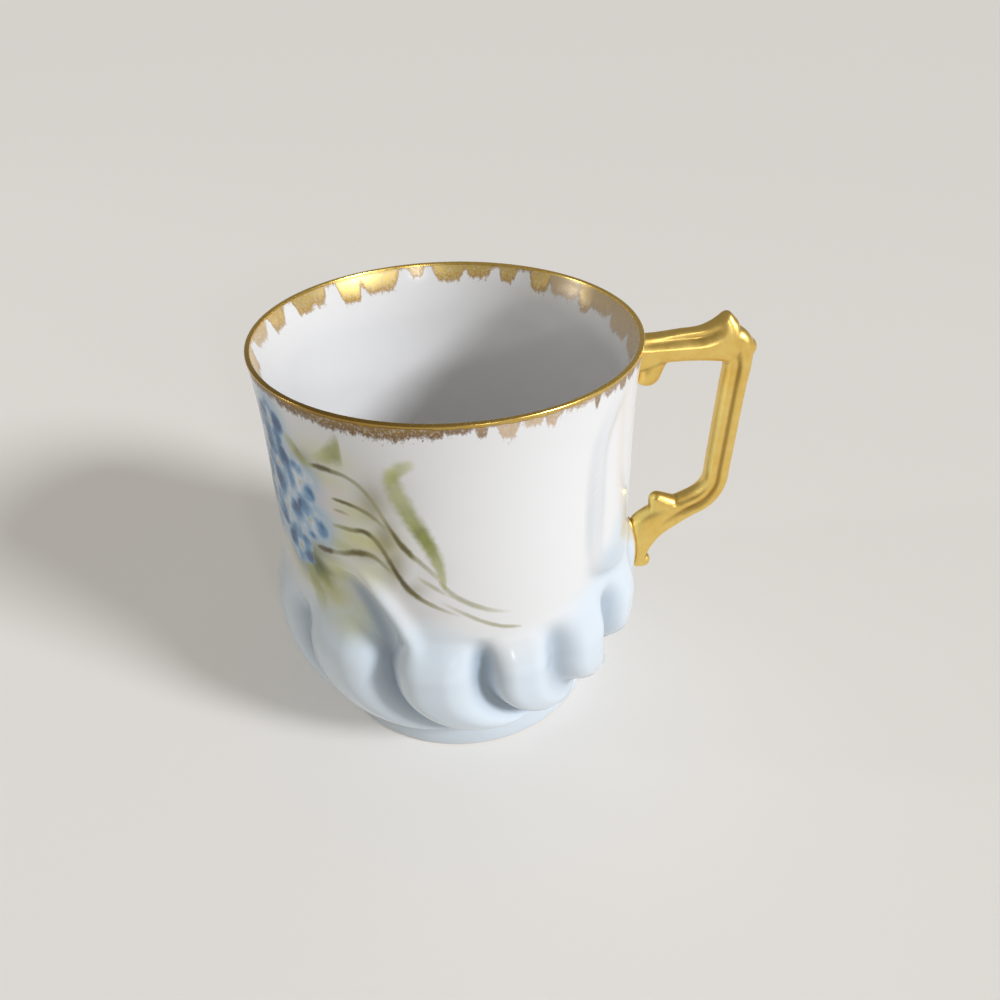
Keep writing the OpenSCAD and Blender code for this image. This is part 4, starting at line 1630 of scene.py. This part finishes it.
        # The tube's rings lie one unit apart, so that a ring's number is its height
        upright = [e for e in shape.edges if e.verts[0].co.z != e.verts[1].co.z]
        bmesh.ops.subdivide_edges(shape, edges=upright, cuts=len(path) - 2)
        for vertex in shape.verts:
            k = round(vertex.co.z + (len(path) - 1) / 2)
            x, z, outer, inner, thick, flute, shift, share = path[k]
            c, w = vertex.co.x, vertex.co.y
            out = (outer if c > 0 else inner) * c
            across = math.copysign(abs(w) ** self.section_power * thick, w)
            across -= math.copysign(flute, w) * math.exp(-(((c - shift) / share) ** 2))
            vertex.co = (x - ahead[k, 1] * out, across, z + ahead[k, 0] * out)
        bmesh.ops.recalc_face_normals(shape, faces=shape.faces)
        return shape

    def add_swellings(self, shape: bmesh.types.BMesh) -> None:
        """Add the curl under the arm, the corner's lobe, the knuckle and the tail's bead, each round balls.

        Args:
            shape: the shape that gets them, in millimetres.
        """
        arm_x, arm_z, bar_x, elbow_z = self.arm_x, self.arm_z, self.bar_x, self.elbow_z
        low_run, drop = bar_x - self.tail_x, elbow_z - self.joint_z
        curl, corner, knuckle, bead = self.curl_r, self.corner_r, self.knuckle_r, self.tail_bead_r
        # X, Z and radius of each ball, from shares of the arms' runs and widths and of its own radius
        swellings = (
            (
                (arm_x + 0.75 * curl, arm_z - self.curl_drop, curl),
                (arm_x + 1.5 * curl, arm_z - 0.25 * self.arm_w, 0.7 * curl),
            ),
            ((bar_x + self.bar_w / 2 + self.corner_out - corner, arm_z - 0.1 * self.arm_w, corner),),
            (
                (bar_x - 0.8 * low_run, elbow_z - 0.2 * drop, knuckle),
                (bar_x - 0.62 * low_run, elbow_z - 0.31 * drop, 1.35 * knuckle),
                (bar_x - 0.76 * low_run, elbow_z - 0.38 * drop, 1.2 * knuckle),
            ),
            ((self.tail_x + 0.85 * bead, self.tail_z + 0.8 * bead, bead),),
        )
        for balls in swellings:
            lump = bmesh.new()
            for x, z, radius in balls:
                bmesh.ops.create_uvsphere(
                    lump,
                    u_segments=self.ball_sides,
                    v_segments=self.ball_rows,
                    radius=radius,
                    matrix=Matrix.Translation((x, 0, z)),
                )
            bmesh.ops.delete(lump, geom=lump.edges[:], context="EDGES_FACES")
            hull = bmesh.ops.convex_hull(lump, input=lump.verts[:])
            within = [item for item in hull["geom_interior"] if isinstance(item, bmesh.types.BMVert)]
            bmesh.ops.delete(lump, geom=within, context="VERTS")
            bmesh.ops.recalc_face_normals(lump, faces=lump.faces)
            mesh = to_mesh(lump, "swelling")
            shape.from_mesh(mesh)
            bpy.data.meshes.remove(mesh)

    def soften(self, shape: bmesh.types.BMesh, rounds: int) -> np.ndarray:
        """Smooth a shape some rounds over.

        Args:
            shape: the shape.
            rounds: number of rounds.

        Returns:
            Its vertices as rows.
        """
        for _ in range(rounds):
            bmesh.ops.smooth_vert(
                shape,
                verts=shape.verts,
                factor=self.smooth_share,
                use_axis_x=True,
                use_axis_y=True,
                use_axis_z=True,
            )
        return np.array([vertex.co for vertex in shape.verts])

    def seat(self, points: np.ndarray) -> np.ndarray:
        """Press the handle's ends on to the wall, so that nothing of it reaches inside the porcelain.

        Args:
            points: the handle's vertices as rows.

        Returns:
            The rows, moved out from the cup's axis where they have to.
        """
        radius = np.hypot(points[:, 0], points[:, 1])
        least = self.sizes.crest_r(points[:, 2]) + self.wall_gap
        return points * np.stack([np.maximum(1, least / radius)] * 2 + [np.ones(len(points))], axis=1)

    def build(self, finish: FiredGold) -> None:
        """Model and place the handle.

        Args:
            finish: the gold.
        """
        shape = self.sweep()
        self.add_swellings(shape)
        draft = link_object("handle_draft", to_mesh(shape, "handle_draft"))
        skin = draft.modifiers.new("skin", "REMESH")
        skin.mode = "VOXEL"
        skin.voxel_size = self.voxel
        graph = bpy.context.evaluated_depsgraph_get()
        mesh = bpy.data.meshes.new_from_object(draft.evaluated_get(graph))
        bpy.data.objects.remove(draft)

        shape = bmesh.new()
        shape.from_mesh(mesh)
        fine = self.seat(self.soften(shape, self.smoothing))
        for vertex, place in zip(shape.verts, fine):
            vertex.co = place
        bmesh.ops.recalc_face_normals(shape, faces=shape.faces)
        shape.to_mesh(mesh)
        normals = np.array([vertex.normal for vertex in shape.verts])
        sunk = np.sum((self.soften(shape, self.hollowing) - fine) * normals, axis=1)
        shape.free()
        # Painted shade, with duller gold, in the handle's hollows: darker the deeper the hollow
        write_attribute(mesh, "hollow", np.clip(sunk / self.darkest_shade_depth, 0, 1))
        place_piece(mesh, "gilded_handle", "handle", finish.make())


@dataclass
class SlipBead:
    """A bead of slip that luted one end of the handle to the wall, gilded with it."""

    sizes: CupSizes
    name: str
    node: str
    # How far the bead's edge spreads past the solid's own edge, how far it stands off the wall, and how
    # far its hidden side sinks in
    spread: float = 0.15
    rise: float = 0.75
    sink: float = 0.3
    # How square the bead's upper and lower ends are, and how brown its gold is
    end_power: float = 0.8
    brown: float = 0.25
    sides: int = 48
    rows: int = 24

    def build(self, finish: FiredGold) -> None:
        """Model and place the bead.

        Args:
            finish: the gold.
        """
        low, high = (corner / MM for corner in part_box(self.node))
        middle_z, half_h = (low.z + high.z) / 2, (high.z - low.z) / 2 + self.spread
        half_w = (high.y - low.y) / 2 + self.spread
        shape = bmesh.new()
        bmesh.ops.create_uvsphere(shape, u_segments=self.sides, v_segments=self.rows, radius=1)
        for vertex in shape.verts:
            x, y, z = vertex.co
            height = middle_z + half_h * math.copysign(abs(z) ** self.end_power, z)
            wall = float(self.sizes.crest_r(np.array(height)))
            radius = wall + (self.rise if x > 0 else self.sink) * x
            turn = half_w * y / radius
            vertex.co = (radius * math.cos(turn), radius * math.sin(turn), height)
        bmesh.ops.recalc_face_normals(shape, faces=shape.faces)
        mesh = to_mesh(shape, self.name)
        write_attribute(mesh, "hollow", np.full(len(mesh.vertices), self.brown))
        place_piece(mesh, self.name, self.node, finish.make())


# Studio


def hang_light(data: bpy.types.Light, place: Vector, target: Vector) -> None:
    """Hang a light so that it faces a target.

    Args:
        data: the light.
        place: where it hangs, in metres.
        target: what it faces, in metres.
    """
    lamp = link_object(data.name, data)
    lamp.location = place
    lamp.rotation_euler = (target - place).to_track_quat("-Z", "Y").to_euler()


@dataclass(frozen=True)
class Lamp:
    """A soft square lamp, in millimetres and watts, aimed at the cup."""

    name: str
    place: tuple[float, float, float]
    size: float
    power: float
    colour: str = "#FFFFFF"

    def build(self, target: Vector) -> None:
        """Hang the lamp.

        Args:
            target: what it faces, in metres.
        """
        data = bpy.data.lights.new(self.name, "AREA")
        data.shape = "SQUARE"
        data.size = self.size * MM
        data.energy = self.power
        data.color = linear(self.colour)[:3]
        hang_light(data, Vector(self.place) * MM, target)


@dataclass(frozen=True)
class Daylight:
    """Soft daylight from one side: a far bright disc, with its angles in degrees."""

    azimuth: float = -30.0
    elevation: float = 30.0
    width: float = 13.0
    strength: float = 2.4
    colour: str = "#FBFCFF"

    def build(self) -> None:
        """Hang the disc so that it shines on the cup from its angle."""
        data = bpy.data.lights.new("daylight", "SUN")
        data.angle = math.radians(self.width)
        data.energy = self.strength
        data.color = linear(self.colour)[:3]
        turn, rise = math.radians(self.azimuth), math.radians(self.elevation)
        place = Vector((math.cos(turn) * math.cos(rise), math.sin(turn) * math.cos(rise), math.sin(rise)))
        hang_light(data, place, Vector())


@dataclass
class Studio:
    """Pale floor, soft light and a camera that stands where the photograph was taken."""

    # Half the floor's side, and one pale colour for the floor and for what is seen behind it
    floor_half: float = 6000.0
    pale: str = "#E4E2DF"
    # The floor is matt board: the size of its fibres, their detail, and the roughness that they give
    fibre_mm: float = 2.5
    fibre_detail: float = 4.0
    fibre_roughness: tuple[float, float] = (0.55, 0.7)
    # Light of its own that the floor shows to the eye and in gloss, so that it looks pale
    floor_lift: float = 0.22
    backdrop_strength: float = 0.85
    air: str = "#EFE8DA"
    air_strength: float = 0.31
    daylight: Daylight = Daylight()
    lamps: tuple[Lamp, ...] = (
        Lamp("front_spark", (198, -608, 285), 45, 0.4), Lamp("left_spark", (-685, 24, 145), 45, 0.4),
    )
    # The camera's place, its angles in degrees, and how near and how far it sees
    camera_place: tuple[float, float, float] = (0.0, -103.21, 109.19)
    camera_yaw: float = 4.149
    camera_pitch: float = 36.096
    camera_roll: float = -0.682
    lens: float = 27.0
    sensor: float = 36.0
    nearest: float = 10.0
    farthest: float = 20000.0

    def lay_floor(self) -> None:
        """Lay a plain pale floor under the cup."""
        shape = bmesh.new()
        bmesh.ops.create_grid(shape, x_segments=1, y_segments=1, size=self.floor_half * MM)
        mesh = to_mesh(shape, "floor")
        material, node, shader = new_material("pale_matt_board")
        place = node("TexCoord", out="Object")
        scale = per_metre(self.fibre_mm)
        fibre = node("TexNoise", {"Vector": place, "Scale": scale, "Detail": self.fibre_detail})
        low, high = self.fibre_roughness
        ray = node("LightPath").node.outputs
        seen = node("Math", (ray["Is Camera Ray"], ray["Is Glossy Ray"]), operation="MAXIMUM")
        fill_inputs(shader, {
            "Base Color": linear(self.pale),
            "Roughness": node("MapRange", {"Value": fibre, "To Min": low, "To Max": high}),
            "Specular IOR Level": 0.0,
            "Emission Color": linear(self.pale),
            "Emission Strength": node("Math", (seen, self.floor_lift), operation="MULTIPLY"),
        })
        mesh.materials.append(material)
        floor = link_object("floor", mesh)

    def light(self) -> None:
        """Hang the lamps and fill the room with soft light."""
        low, high = CAD_BOX
        self.daylight.build()
        for lamp in self.lamps:
            lamp.build((low + high) / 2)
        world = bpy.data.worlds.new("studio")
        bpy.context.scene.world = world
        world.use_nodes = True
        tree = world.node_tree
        room = tree.nodes["Background"]
        fill_inputs(room, {"Color": linear(self.air), "Strength": self.air_strength})
        seen = add_node(tree, "Background", (linear(self.pale), self.backdrop_strength))
        to_eye = add_node(tree, "LightPath", out="Is Camera Ray")
        both = add_node(tree, "MixShader", (to_eye, room.outputs["Background"], seen))
        fill_inputs(tree.nodes["World Output"], {"Surface": both})

    def set_camera(self) -> None:
        """Put the camera where the photograph's own perspective places it."""
        angles = (self.camera_yaw, self.camera_pitch, self.camera_roll)
        yaw, pitch, roll = (math.radians(angle) for angle in angles)
        ahead = Vector((math.sin(yaw) * math.cos(pitch), math.cos(yaw) * math.cos(pitch), -math.sin(pitch)))
        level = Vector((math.cos(yaw), -math.sin(yaw), 0))
        above = level.cross(ahead)
        right = math.cos(roll) * level + math.sin(roll) * above
        up = -math.sin(roll) * level + math.cos(roll) * above
        data = bpy.data.cameras.new("photo_camera")
        data.lens, data.sensor_width = self.lens, self.sensor
        data.clip_start, data.clip_end = self.nearest * MM, self.farthest * MM
        camera = link_object("photo_camera", data)
        turned = Matrix((right, up, -ahead)).transposed().to_4x4()
        camera.matrix_world = Matrix.Translation(Vector(self.camera_place) * MM) @ turned
        bpy.context.scene.camera = camera

    def build(self) -> None:
        """Set up the floor, the light and the camera."""
        self.lay_floor()
        self.light()
        self.set_camera()
        bpy.context.scene.view_settings.view_transform = "Standard"


def main() -> None:
    """Build every piece of the cup, then the studio."""
    logging.basicConfig(level=logging.INFO, format="%(name)s: %(message)s")
    sizes = CupSizes.from_frame()
    handle_gold = FiredGold("fired_gold_on_the_handle")
    CupBody(sizes).build(PaintedPorcelain())
    FootRing(sizes).build(FootPorcelain())
    LipGilding(sizes).build(FiredGold("fired_gold_on_the_lip", streak_mm=0.5, roughness=0.24))
    GildedHandle(sizes).build(handle_gold)
    SlipBead(sizes, "upper_slip_bead", "upper_slip_joint").build(handle_gold)
    SlipBead(sizes, "lower_slip_bead", "lower_slip_joint").build(handle_gold)
    Studio().build()


if __name__ == "__main__":
    main()
